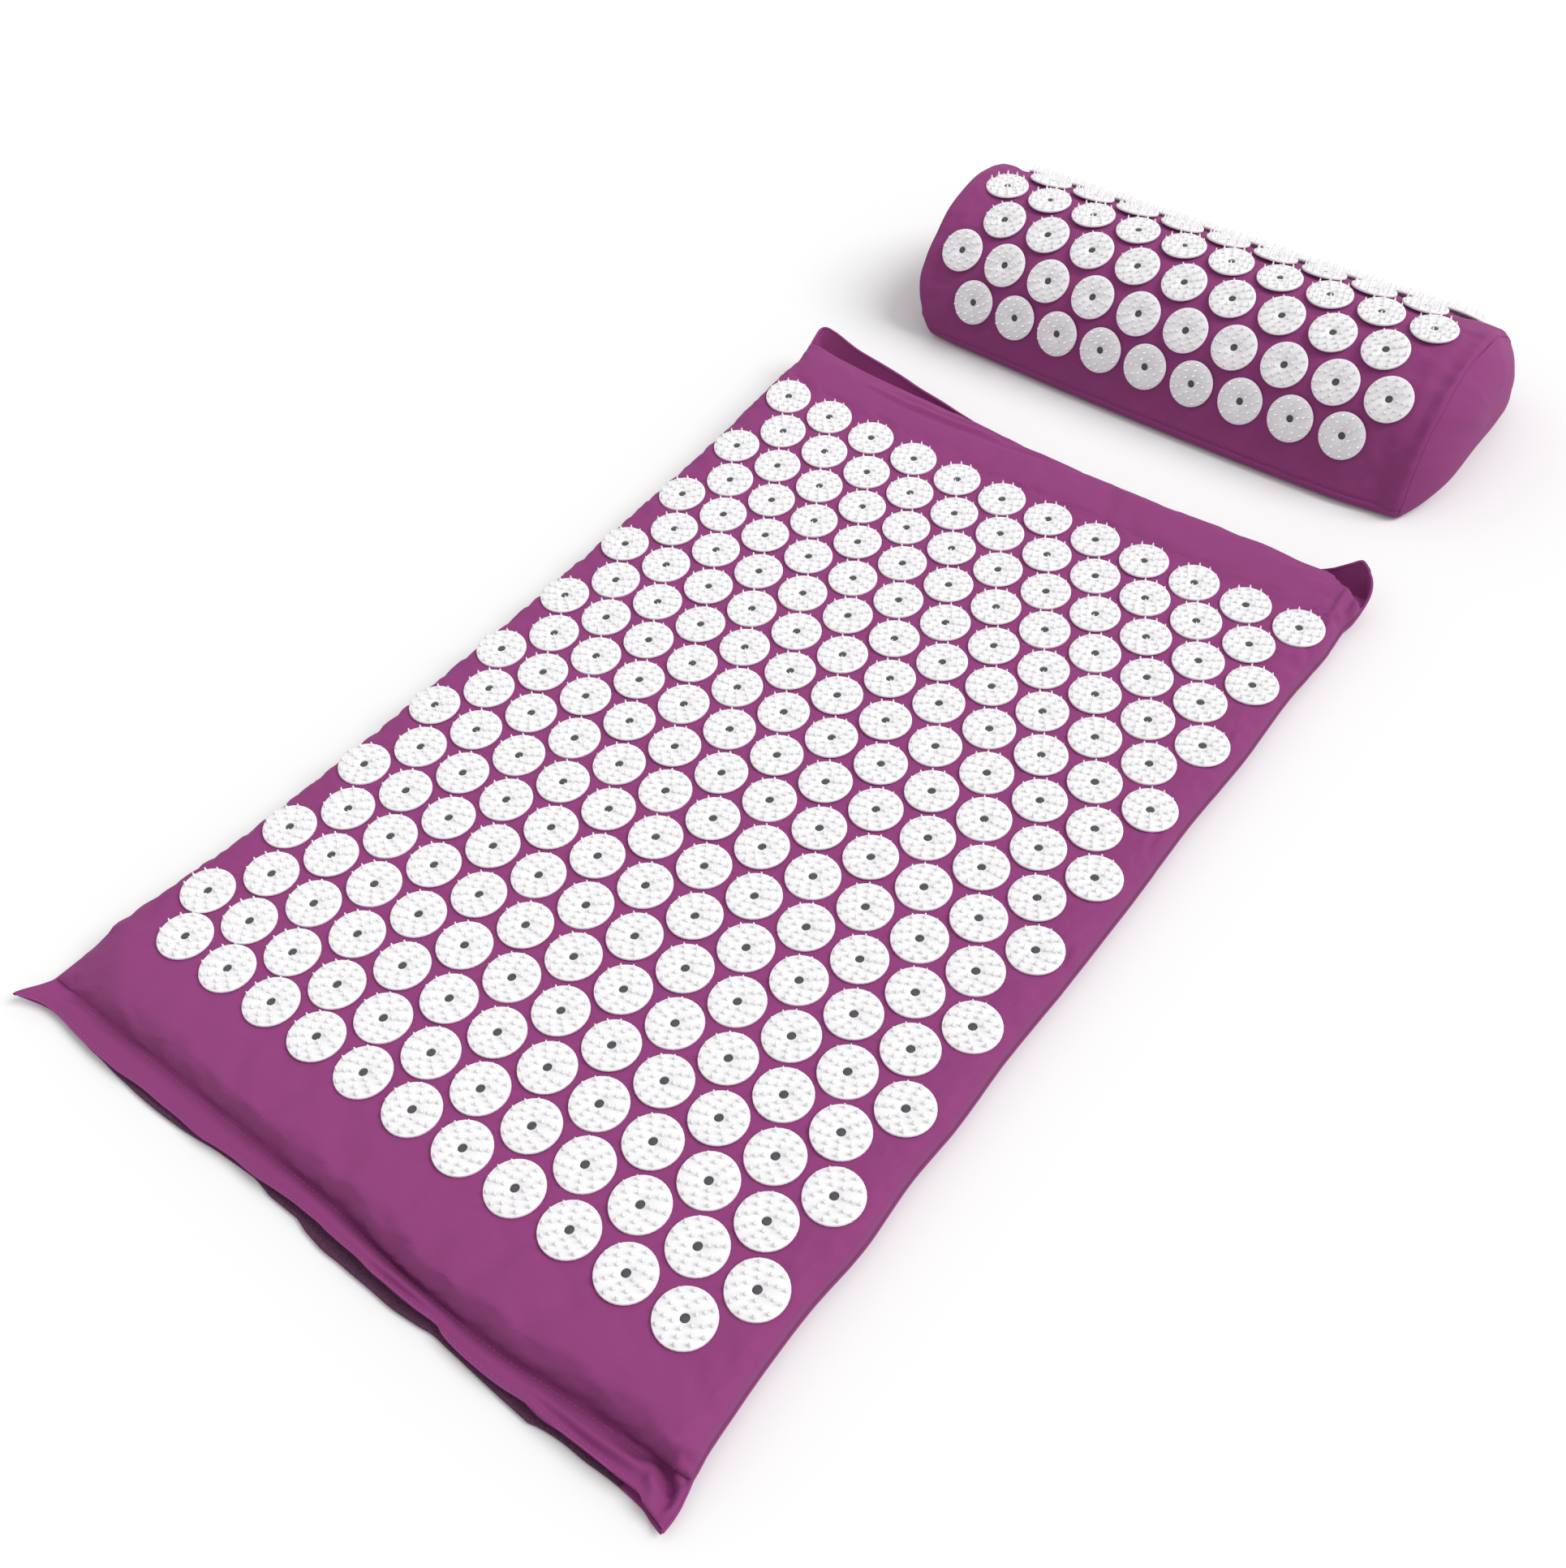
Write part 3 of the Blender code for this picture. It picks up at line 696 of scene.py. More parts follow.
# Folds in the cloth: points along each, its half width and its depth. Ridges have depths below 0
FOLDS = (
    (((-0.1420, 0.2995), (-0.1110, 0.2992), (-0.0740, 0.3020), (-0.0350, 0.3068), (0.0122, 0.3105)),
     0.0018, -0.0017),
    (((0.2000, 0.1500), (0.1940, 0.1580), (0.1930, 0.1680)), 0.0016, 0.0015),
    (((0.2020, 0.0700), (0.1970, 0.0780), (0.1960, 0.0890)), 0.0016, 0.0015),
    (((0.2020, -0.0100), (0.1980, -0.0030), (0.1975, 0.0060)), 0.0016, 0.0014),
    (((0.1990, 0.2560), (0.1940, 0.2620), (0.1925, 0.2760)), 0.0016, 0.0018),
    (((0.2000, 0.2840), (0.1960, 0.2760), (0.1950, 0.2660)), 0.0014, 0.0015),
    (((0.1967, 0.2497), (0.2000, 0.2430), (0.2020, 0.2330)), 0.0016, 0.0018),
    (((0.1960, 0.2000), (0.1920, 0.2060), (0.1910, 0.2130)), 0.0014, 0.0012),
    (((0.1985, 0.3050), (0.1990, 0.2980), (0.2000, 0.2880), (0.2010, 0.2790), (0.2020, 0.2720)),
     0.0022, 0.0034),
    (((0.2120, -0.2930), (0.2060, -0.2975), (0.1990, -0.3010), (0.1900, -0.3020)), 0.0020, 0.0030),
    (((0.1955, -0.3025), (0.2000, -0.3050), (0.2040, -0.3090), (0.2060, -0.3130)), 0.0026, 0.0056),
    (((0.2050, -0.3050), (0.2024, -0.3006), (0.2030, -0.2969), (0.2060, -0.2925)), 0.0014, -0.0016),
    (((0.2075, -0.3050), (0.2100, -0.3090), (0.2105, -0.3140), (0.2095, -0.3180)), 0.0013, -0.0018),
    (((0.1700, -0.3062), (0.1794, -0.3072), (0.1870, -0.3060), (0.1963, -0.3009)), 0.0016, 0.0026),
    (((0.1342, -0.3150), (0.1487, -0.3152), (0.1650, -0.3153), (0.1790, -0.3146), (0.1930, -0.3130)),
     0.0015, 0.0022),
    (((0.0340, -0.3160), (0.0485, -0.3158), (0.0617, -0.3152), (0.0760, -0.3135)), 0.0015, 0.0018),
    (((-0.2060, -0.3110), (-0.1980, -0.3075), (-0.1860, -0.3050)), 0.0018, 0.0014),
)


def across_places():
    """Places across the cover, close together on its shoulders."""
    band = 0.018
    fine_step = 0.0012
    middle_columns = 92
    fine = np.arange(0, band, fine_step)
    middle = np.linspace(-COVER_HALF + band, COVER_HALF - band, middle_columns)
    return np.concatenate([fine - COVER_HALF, middle, (COVER_HALF - fine)[::-1]])


def row_layout(low, high, count):
    """Where the first disc of a row stands across, and the pitch of the row."""
    diameter = bpy.context.scene.disc_sizes.diameter
    return low.x + diameter / 2, (high.x - low.x - diameter) / (count - 1)


def mat_disc_places():
    """Centres of the mat's discs, row by row, on the frame's rows."""
    rows = []
    for row in range(MAT_ROWS):
        low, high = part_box(f"mat_disc_row_{row + 1:02d}")
        count = MAT_SHORT_ROW + row % 2
        first, pitch = row_layout(low, high, count)
        stretch = ROW_STRETCH[min(row, len(ROW_STRETCH) - 1)]
        left_shift, right_shift = NEAR_ROW_SHIFTS if row == 0 else (0.0, 0.0)
        places = []
        for i in range(count):
            x = first + i * pitch
            to_left = (high.x - x) / (high.x - low.x)
            shift = right_shift + (left_shift - right_shift) * to_left
            places.append(Vector((x - stretch * to_left, (low.y + high.y) / 2 + shift, low.z)))
        rows.append(places)
    return rows


def distance_to_line(x, y, line):
    """Distance of each place to a line of points, and the share run along it."""
    best = np.full(x.shape, 1e9)
    run = np.zeros(x.shape)
    spans = len(line) - 1
    for i, (start, end) in enumerate(zip(line, line[1:])):
        step = np.array(end) - np.array(start)
        t = np.clip(((x - start[0]) * step[0] + (y - start[1]) * step[1]) / (step @ step), 0, 1)
        distance = np.hypot(x - start[0] - t * step[0], y - start[1] - t * step[1])
        nearer = distance < best
        best = np.where(nearer, distance, best)
        run = np.where(nearer, (i + t) / spans, run)
    return best, run


def fold_depth(x, y):
    """Depth of the pressed folds at each place, with the cloth heaped beside them."""
    heap_share = 0.55
    heap_place = 2.2
    depth = np.zeros(x.shape)
    for line, width, deep in FOLDS:
        distance, run = distance_to_line(x, y, line)
        valley = np.exp(-(distance / width) ** 2)
        heap = heap_share * np.exp(-((distance - heap_place * width) / width) ** 2)
        fade = np.sin(np.clip(run, 0.04, 0.96) * math.pi) ** 0.5
        depth += deep * fade * (valley - heap)
    return depth


def clear_of_discs(points, places):
    """0 under a disc, towards 1 in the open cloth between and beside the discs."""
    radius = bpy.context.scene.disc_sizes.diameter / 2
    nearest = np.full(points.shape[:-1], np.inf)
    for place in places:
        nearest = np.minimum(nearest, np.linalg.norm(points - np.array(place), axis=-1))
    return ease((nearest - radius) / (OPEN_CLOTH_BAND * radius))


def mat_open_cloth(points):
    """How clear of the mat's discs each place is, seen from above."""
    places = [place[:2] for row in mat_disc_places() for place in row]
    return clear_of_discs(points[..., :2], places)


def lip_waver(x, seed):
    """Unevenness of a cut or folded edge along the mouth."""
    slow_height = 0.0004
    quick_height = 0.0002
    places = np.stack([x, 0 * x, 0 * x], axis=-1)
    return slow_height * noise_at(places, 0.027, seed) + quick_height * noise_at(places, 0.011, seed + 1)


def pressed_down(x, y):
    """How far the top is pressed down beyond the diagonals of two of its corners."""
    down = np.zeros(x.shape)
    for start, across, depth, width in PRESSED_CORNERS:
        beyond = (x - start[0]) * across[0] + (y - start[1]) * across[1]
        down += depth * ease(beyond / width)
    return down


def round_far_corners(points):
    """Turn the square far corners into round ones, seen from above."""
    for side, corner_x, corner_y, radius in ROUND_CORNERS:
        across = (side * points[..., 0] - corner_x) / radius + 1
        along = (points[..., 1] - corner_y) / radius + 1
        inside = (across > 0) & (along > 0)
        a = np.clip(across, 0, 1)
        b = np.clip(along, 0, 1)
        shift_x = radius * a * (np.sqrt(1 - b * b / 2) - 1)
        shift_y = radius * b * (np.sqrt(1 - a * a / 2) - 1)
        points[..., 0] += np.where(inside, side * shift_x, 0)
        points[..., 1] += np.where(inside, shift_y, 0)
    return points


def stretch_sides(x, y):
    """Move places across outwards or inwards, so that the edges follow the seams."""
    share = np.abs(x) / COVER_HALF
    edge = np.where(x < 0, left_seam_place(y), right_seam_place(y))
    return x + np.sign(x) * (edge - COVER_HALF) * share ** 4


def draw_ears(points, x, near_weight, far_weight):
    """Draw the corners out. The weights say how much of it reaches each row."""
    share = np.abs(x / COVER_HALF)
    left = x < 0
    for weight, power, left_tip, right_tip in (
            (near_weight, NEAR_EAR_POWER, NEAR_LEFT_EAR, NEAR_RIGHT_EAR),
            (far_weight, FAR_EAR_POWER, FAR_LEFT_EAR, FAR_RIGHT_EAR)):
        for axis in range(3):
            tip = np.where(left, left_tip[axis], right_tip[axis])
            points[..., axis] += tip * share ** power * weight
    return points


def mat_lift(x, y):
    """How far the far left corner curls up from the floor, foam and all."""
    start_x = -0.034
    width_x = 0.142
    length_y = 0.259
    steep_y = 0.20
    steep_length = 0.07
    across = np.clip((start_x - x) / width_x, 0, 1.12) ** 1.4
    steep = ease((y - steep_y) / steep_length)
    along = 0.75 * np.clip(y / length_y, 0, 1.05) ** 2 + 0.25 * steep
    return CORNER_LIFT * across * along


def lifted(points):
    """Points of the flat mat, carried up where its corner curls."""
    points[..., 2] += mat_lift(points[..., 0], points[..., 1])
    return points


def lifted_place(place):
    """A disc's place on the lifted cloth, and the way the cloth faces there."""
    x, y, z = place
    step = 0.004
    slope_x = float(mat_lift(x + step, y) - mat_lift(x - step, y)) / (2 * step)
    slope_y = float(mat_lift(x, y + step) - mat_lift(x, y - step)) / (2 * step)
    normal = Vector((-slope_x, -slope_y, 1)).normalized()
    return Vector((x, y, z + float(mat_lift(x, y)))), normal


def shoulder_share(x, y):
    """0 at the side seams, 1 where the cloth lies flat on the foam."""
    far_start = 0.262
    far_length = 0.030
    to_far = ease((y - far_start) / far_length)
    right = RIGHT_SHOULDER + (FAR_RIGHT_SHOULDER - RIGHT_SHOULDER) * to_far
    return (COVER_HALF - np.abs(x)) / np.where(x < 0, LEFT_SHOULDER, right)


def foam_top(x, y):
    """Height of the foam's rounded upper side at each place of the flat mat."""
    middle = (FOAM_LOW + FOAM_HIGH) / 2
    half = (FOAM_HIGH - FOAM_LOW) / 2 - FOAM_CLEARANCE
    out_x = np.abs(x - middle.x) - half.x + FOAM_ROUND
    out_y = np.abs(y - middle.y) - half.y + FOAM_ROUND
    out = np.hypot(np.clip(out_x, 0, None), np.clip(out_y, 0, None))
    drop = FOAM_ROUND - np.sqrt(np.clip(FOAM_ROUND ** 2 - out ** 2, 0, None))
    top = middle.z + half.z - drop - pressed_down(x, y)
    return np.where(out < FOAM_ROUND, top, 0.0)


def side_seam_height(x, y):
    return np.where(x < 0, left_seam_height(y), right_seam_height(y))


def cover_rows():
    """Rows of the cover from mouth to flange, each as (part of the cover, share of that part)."""
    lip_rows = 17
    slope_rows = 11
    plain_rows = 160
    far_rows = 32
    flange_rows = 9
    far_start = 0.94
    rows = [("lip", share) for share in np.linspace(0, 1, lip_rows)]
    rows += [("rise", share) for share in rounded_steps(slope_rows)[1:]]
    rows += [("body", share) for share in np.linspace(0, far_start, plain_rows)[1:-1]]
    rows += [("body", share) for share in np.linspace(far_start, 1, far_rows)[:-1]]
    rows += [("fall", share) for share in rounded_steps(slope_rows)[::-1]]
    rows += [("flange", share) for share in np.linspace(0, 1, flange_rows)[1:]]
    return rows


def row_place(part, share, x, lip_y):
    """How far along the mat a row of the cover lies, at each place across."""
    groove_y = groove_line(x)
    foam_end = far_end(x)
    top_start = groove_y + END_SLOPE
    top_end = foam_end - FAR_SLOPE
    if part == "lip":
        return lip_y + (groove_y - lip_y) * share
    if part == "rise":
        return groove_y + END_SLOPE * share
    if part == "body":
        return top_start + (top_end - top_start) * share
    if part == "fall":
        return foam_end - FAR_SLOPE * share
    return foam_end + flange_reach(x) * share ** 0.75


def upper_row_height(part, share, x, y):
    """Height of the upper panel along a row: lip, groove, foam end, top, far end or flange."""
    groove_z = groove_height(x)
    root_z = FLANGE_ROOT + ROOT_RISE * flange_height(x)
    top_z = cover_top - pressed_down(x, y)
    if part == "lip":
        lip_z = upper_lip_height(x)
        hump = LIP_HUMP * np.sin(math.pi * share) ** 2
        return lip_z + (groove_z - lip_z) * ease((share - LIP_LEVEL) / (1 - LIP_LEVEL)) + hump
    if part == "rise":
        return groove_z + (top_z - groove_z) * round_rise(share)
    if part == "body":
        return top_z
    if part == "fall":
        return root_z + (top_z - root_z) * round_rise(share)
    return root_z + (flange_height(x) - root_z) * share ** 1.5


def lower_row_height(part, share, x, y):
    """Height of the lower panel along a row: flat on the floor up to the flange."""
    if part != "flange":
        return np.full(x.shape, CLOTH_FLOOR)
    return CLOTH_FLOOR + (flange_height(x) - FLANGE_GAP - CLOTH_FLOOR) * share ** 2.2


def panel_points(lip_back, waver_seed, row_height, seam_drop, shoulder_power):
    """A panel of the flat mat, and the shares of its shoulders.

    Its sides are brought to the seams, its corners are drawn out into ears, and its far corners
    are rounded.
    """
    x = across_places()
    lip_y = mouth_y + lip_back(x) + lip_waver(x, waver_seed)
    rows = cover_rows()
    grid = []
    for part, share in rows:
        y = row_place(part, share, x, lip_y)
        grid.append(np.stack([x, y, row_height(part, share, x, y)], axis=-1))
    points = np.array(grid)
    nominal_x = points[..., 0].copy()
    inward = shoulder_share(nominal_x, points[..., 1])
    seam_z = side_seam_height(nominal_x, points[..., 1]) - seam_drop
    points[..., 2] = seam_z + (points[..., 2] - seam_z) * round_rise(inward, shoulder_power)
    points[..., 0] = stretch_sides(nominal_x, points[..., 1])
    near_weights = [1 - ease(share) if part == "lip" else 0.0 for part, share in rows]
    far_weights = [share ** 2 if part == "flange" else 0.0 for part, share in rows]
    draw_ears(points, nominal_x, np.array(near_weights)[:, None], np.array(far_weights)[:, None])
    return round_far_corners(points), inward


def flat_lower_panel():
    """The lower panel's surface, from its lip along the floor to the flange."""
    return panel_points(lower_lip_back, 45, lower_row_height, UNDER_SEAM, LOWER_SHOULDER_POWER)[0]


def lower_cover_points():
    """The lower panel's surface, lifted where the corner curls."""
    return lifted(flat_lower_panel())


def upper_cover_points():
    """The upper panel's surface, with the slack and the puckers of sewn cloth."""
    sizes = bpy.context.scene.cover_sizes
    points, inward = panel_points(upper_lip_back, 41, upper_row_height, 0.0, SHOULDER_POWER)
    open_cloth = mat_open_cloth(points)
    waves = noise_at(points, SLOW_WAVE, seed=1) + 0.5 * noise_at(points, QUICK_WAVE, seed=2)
    points[..., 2] += sizes.puff * open_cloth * round_rise(inward)
    points[..., 2] += sizes.unevenness * waves * open_cloth * 0.5
    points[..., 2] -= fold_depth(points[..., 0], points[..., 1])
    beside_seam = np.exp(-((inward - 0.42) / 0.3) ** 2)
    gathers = noise_at(points * np.array((0.3, 1, 0.3)), GATHER_PITCH, seed=3)
    points += grid_normals(points) * (sizes.pucker * beside_seam * gathers)[..., None]

    # It never sinks into the lower panel or the foam
    floor = flat_lower_panel()[..., 2] + sizes.cloth + LAYER_GAP * ease(inward / 0.2)
    foam = foam_top(points[..., 0], points[..., 1]) + sizes.cloth + FOAM_GAP
    points[..., 2] = np.maximum(points[..., 2], np.maximum(floor, foam))
    return lifted(points)


# Operators of the stage

def light_path_switch(tree):
    """1 for rays from the camera, mirrors and glass, and 0 for the rays that light things."""
    path = add_node(tree, "ShaderNodeLightPath")
    seen = math_node(tree, "MAXIMUM", path.outputs["Is Camera Ray"], path.outputs["Is Glossy Ray"])
    return math_node(tree, "MAXIMUM", seen, path.outputs["Is Transmission Ray"])


class ACUPRESSURE_OT_stage(bpy.types.Operator):
    """Make the pale floor, the soft light and the camera"""
    bl_idname = "acupressure.stage"
    bl_label = "Stage"

    floor_size = 12.0
    floor_level = -0.0003
    bounce_share = 0.62
    ambient = 0.62
    key_strength = 1.82
    key_direction = (0.58, 0.34, 0.74)
    key_softness = math.radians(34)
    # Where the camera stands, the way it looks, and its right side
    camera_place = (0.4237, -0.4413, 0.7184)
    camera_forward = (-0.44001, 0.48286, -0.75713)
    camera_right = (0.78462, 0.61680, -0.06265)
    camera_lens = 39.81
    camera_sensor = 36.0

    def execute(self, context):
        self.add_floor(context)
        self.add_world(context)
        self.add_key_light(context)
        self.add_camera(context)
        context.scene.view_settings.view_transform = "Standard"
        return {"FINISHED"}

    def add_floor(self, context):
        builder = bmesh.new()
        bmesh.ops.create_grid(builder, x_segments=8, y_segments=8, size=self.floor_size / 2)
        mesh = bpy.data.meshes.new("studio_floor")
        builder.to_mesh(mesh)
        builder.free()
        floor = bpy.data.objects.new("studio_floor", mesh)
        floor.location = (0, 0, self.floor_level)
        context.scene.collection.objects.link(floor)
        material, tree, shader = new_material("studio floor")
        colour = context.scene.mat_colours.floor
        seen = light_path_switch(tree)
        set_colour(tree, shader, seen, shade(colour, self.bounce_share), shade(colour, 1.0))
        shader.inputs["Roughness"].default_value = 0.9
        shader.inputs["Specular IOR Level"].default_value = 0.0
        mesh.materials.append(material)

    def add_world(self, context):
        world = bpy.data.worlds.new("studio world")
        context.scene.world = world
        world.use_nodes = True
        tree = world.node_tree
        background = tree.nodes["Background"]
        background.inputs["Color"].default_value = (1, 1, 1, 1)
        seen = light_path_switch(tree)
        strength = add_node(tree, "ShaderNodeMapRange", (
            ("Value", seen), ("To Min", self.ambient), ("To Max", 1.0)))
        tree.links.new(strength.outputs["Result"], background.inputs["Strength"])

    def add_key_light(self, context):
        light = bpy.data.lights.new("key light", "SUN")
        light.energy = self.key_strength
        light.angle = self.key_softness
        key = bpy.data.objects.new("key light", light)
        key.rotation_mode = "QUATERNION"
        key.rotation_quaternion = Vector(self.key_direction).to_track_quat("Z", "Y")
        context.scene.collection.objects.link(key)

    def add_camera(self, context):
        data = bpy.data.cameras.new("photo camera")
        data.lens = self.camera_lens
        data.sensor_width = self.camera_sensor
        data.sensor_fit = "HORIZONTAL"
        data.clip_start = 0.01
        camera = bpy.data.objects.new("photo camera", data)
        forward = Vector(self.camera_forward).normalized()
        right = Vector(self.camera_right).normalized()
        up = right.cross(forward)
        turn = Matrix((right, up, -forward)).transposed()
        camera.matrix_world = Matrix.Translation(self.camera_place) @ turn.to_4x4()
        context.scene.collection.objects.link(camera)
        context.scene.camera = camera


# Operators of the mat

class ACUPRESSURE_OT_mat_cover(bpy.types.Operator):
    """Sew the mat's cotton cover: upper panel, lower panel, seams, hems and stitches"""
    bl_idname = "acupressure.mat_cover"
    bl_label = "Mat cover"

    def execute(self, context):
        sizes = context.scene.cover_sizes
        looks = finishes()
        upper = self.settled(upper_cover_points())
        lower = lower_cover_points()
        parts = [part for part, share in cover_rows()]
        kept = [i for i, part in enumerate(parts) if part != "body" or i % LOWER_ROW_STEP == 0]
        for name, points, node in (("mat_cover_upper", upper, "mat_top_panel"),
                                   ("mat_cover_lower", lower[kept][:, ::-1], "mat_bottom_panel")):
            panel = add_piece(grid_mesh(name, points), "mat", looks["purple cotton"])
            thicken(panel, sizes.cloth)
            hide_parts(node)
        self.add_seam(looks, sizes, upper, lower)
        self.add_hems(looks, sizes, upper, lower)
        self.add_stitches(looks, sizes, upper)
        return {"FINISHED"}

    def settled(self, upper):
        """The upper panel after the cloth has settled between discs, seams and lips."""
        held = 1 - mat_open_cloth(upper)
        to_seam = shoulder_share(np.broadcast_to(across_places(), held.shape), upper[..., 1])
        held = np.maximum(held, 1 - ease((to_seam - 0.1) / 0.3))
        for row, (part, share) in enumerate(cover_rows()):
            if part in ("lip", "flange"):
                held[row] = 1
        return settle_cloth(upper, held)

    def add_seam(self, looks, sizes, upper, lower):
        """The rolled seam that joins the panels along both sides and the far end."""
        middle = (upper + lower) / 2
        path = np.concatenate([middle[:, 0], middle[-1, 1:-1], middle[::-1, -1]])
        kept = [path[0]]
        for point in path[1:]:
            if np.linalg.norm(point - kept[-1]) > sizes.seam_radius:
                kept.append(point)
        mesh = tube_mesh("mat_side_seam", kept, sizes.seam_radius, flatten=0.9)
        seam = add_piece(mesh, "mat", looks["purple cotton"])

    def add_hems(self, looks, sizes, upper, lower):
        """The folded edges of the two lips, in the lighter cotton that paints a highlight on the fold."""
        for name, edge, lift in (("mat_upper_hem", upper[0], -sizes.cloth / 2),
                                 ("mat_lower_hem", lower[0], 0.0)):
            path = edge + np.array((0, HEM_INSET, lift))
            mesh = tube_mesh(name, path, sizes.hem_radius, flatten=0.8)
            hem = add_piece(mesh, "mat", looks["hem cotton"])

    def add_stitches(self, looks, sizes, upper):
        """Two rows of stitches that hold the loop tape under the upper lip."""
        builder = bmesh.new()
        for line in (upper[2], upper[TAPE_ROWS - 1]):
            run = lengths_along(line[None], 1)[0]
            count = int(run[-1] / sizes.stitch_pitch)
            for i in range(STITCH_MARGIN, count - STITCH_MARGIN):
                ends = []
                for share in STITCH_SPAN:
                    place = (i + share) * sizes.stitch_pitch
                    ends.append(Vector([np.interp(place, run, line[:, axis]) for axis in range(3)]))
                self.add_stitch(builder, ends[0], ends[1], sizes.thread_radius)
        mesh = built_mesh("mat_lip_stitches", builder)
        stitches = add_piece(mesh, "mat", looks["plum thread"])

    def add_stitch(self, builder, start, end, radius):
        """One stitch: a short thread that dips into the cloth at both ends."""
        sides = 6
        rings = []
        for share, lift, size in STITCH_PROFILE:
            centre = start.lerp(end, share) + Vector((0, 0, lift * radius))
            ring = []
            for corner in range(sides):
                angle = 2 * math.pi * corner / sides
                offset = Vector((0, math.cos(angle), math.sin(angle))) * radius * size
                ring.append(builder.verts.new(centre + offset))
            rings.append(ring)
        bridge_rings(builder, rings)
        cap_rings(builder, rings)


class ACUPRESSURE_OT_mat_closure(bpy.types.Operator):
    """Lay the hook and loop tapes between the lips of the mouth"""
    bl_idname = "acupressure.mat_closure"
    bl_label = "Mat closure"

    def execute(self, context):
        sizes = context.scene.cover_sizes
        looks = finishes()
        x = across_places()
        inside = np.abs(x) < HOOK_HIGH.x
        upper = upper_cover_points()[1:TAPE_ROWS]
        lower = lower_cover_points()[:TAPE_ROWS]
        lower[0, :, 1] -= HOOK_OVERLAP * ease((HOOK_HIGH.x - np.abs(x)) / HOOK_TAPER)
        loop = upper - np.array((0, 0, sizes.cloth + TAPE_GAP))
        hook = lower + np.array((0, 0, sizes.tape + TAPE_GAP))
        for name, node, points, finish in (
                ("mat_loop_strip", "mat_loop_tape", loop, "loop tape"),
                ("mat_hook_strip", "mat_hook_tape", hook, "hook tape")):
            tape = add_piece(grid_mesh(name, points[:, inside]), "mat", looks[finish])
            thicken(tape, sizes.tape)
            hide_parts(node)
        return {"FINISHED"}


def slab_points(low, high, radius):
    """A foam slab as a grid of rings round its width, with rounded edges and slightly uneven on top."""
    centre_x, centre_y, centre_z = ((a + b) / 2 for a, b in zip(low, high))
    half_x, half_y, half_z = ((b - a) / 2 for a, b in zip(low, high))
    outline = []
    for start, (corner_x, corner_z) in enumerate(((1, 1), (-1, 1), (-1, -1), (1, -1))):
        for step in range(FOAM_CORNER_STEPS + 1):
            angle = (start + step / FOAM_CORNER_STEPS) * math.pi / 2
            outline.append((corner_x * (half_x - radius) + radius * math.cos(angle),
                            corner_z * (half_z - radius) + radius * math.sin(angle)))
    dense = []
    for (x, z), (x2, z2) in zip(outline, outline[1:] + outline[:1]):
        pieces = max(1, int(math.hypot(x2 - x, z2 - z) / FOAM_STEP))
        dense += [(x + (x2 - x) * k / pieces, z + (z2 - z) * k / pieces) for k in range(pieces)]
    dense = np.array(dense)

    # Rings along the slab: place, and how far the rounded edge draws each one in
    inner = half_y - radius
    ends = []
    for angle in np.linspace(0, math.pi / 2, FOAM_CORNER_STEPS + 1)[1:]:
        ends.append((inner + radius * math.sin(angle), radius * (1 - math.cos(angle))))
    middle = [(inner * share, 0.0) for share in np.linspace(-1, 1, FOAM_RINGS)[:-1]]
    rings = [(-place, pull) for place, pull in ends[::-1]] + middle + ends
    grid = []
    for place, pull in rings:
        section = dense * np.array(((half_x - pull) / half_x, (half_z - pull) / half_z))
        y = np.full(len(dense), centre_y + place)
        grid.append(np.stack([section[:, 0] + centre_x, y, section[:, 1] + centre_z], axis=-1))
    points = np.array(grid)
    points[..., 2] += FOAM_WAVE * noise_at(points, FOAM_WAVE_LENGTH, seed=11) * (points[..., 2] > centre_z)
    return points


def close_ends(mesh, columns):
    """Fill the first and the last ring of a closed grid."""
    builder = bmesh.new()
    builder.from_mesh(mesh)
    points = list(builder.verts)
    builder.faces.new(points[:columns])
    builder.faces.new(points[-columns:][::-1])
    bmesh.ops.recalc_face_normals(builder, faces=builder.faces)
    builder.to_mesh(mesh)
    builder.free()
    mesh.shade_smooth()


class ACUPRESSURE_OT_mat_foam(bpy.types.Operator):
    """Cut the foam slab inside the mat"""
    bl_idname = "acupressure.mat_foam"
    bl_label = "Mat foam"

    def execute(self, context):
        points = slab_points(FOAM_LOW + FOAM_CLEARANCE, FOAM_HIGH - FOAM_CLEARANCE, FOAM_ROUND)
        height_share = (points[..., 2] - FOAM_LOW.z) / (FOAM_HIGH.z - FOAM_LOW.z)
        points[..., 2] -= pressed_down(points[..., 0], points[..., 1]) * height_share
        lifted(points)
        mesh = grid_mesh("mat_foam_pad", points, closed=True)
        close_ends(mesh, points.shape[1])
        foam = add_piece(mesh, "mat", finishes()["cushion foam"])
        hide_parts("mat_foam_core")
        return {"FINISHED"}


# Discs

# Rings of spikes: how many, and how far from the middle
SPIKE_RINGS = ((12, 0.0125), (9, 0.0089), (6, 0.0052))
# Flank of a spike: share of its height, and of its width from the tip's to the foot's
SPIKE_PROFILE = ((-0.15, 1.0), (0.32, 0.60), (0.88, 0.1222), (1.0, 0.0))
# A pin's head: share of its radius, and height
PIN_PROFILE = ((1, 0.0), (1, 0.0005), (0.8, 0.0008), (0.3, 0.00085))
# A pin's width, as a share of its hole
PIN_FIT = 0.96
PLATE_SIDES = 32
SPIKE_SIDES = 5
PIN_SIDES = 14
SHARP_ANGLE = math.radians(40)


def taken_shape(builder):
    """Points and faces of what the builder holds. The builder is freed."""
    builder.verts.index_update()
    points = np.array([vert.co for vert in builder.verts])
    faces = [[vert.index for vert in face.verts] for face in builder.faces]
    builder.free()
    return points, faces


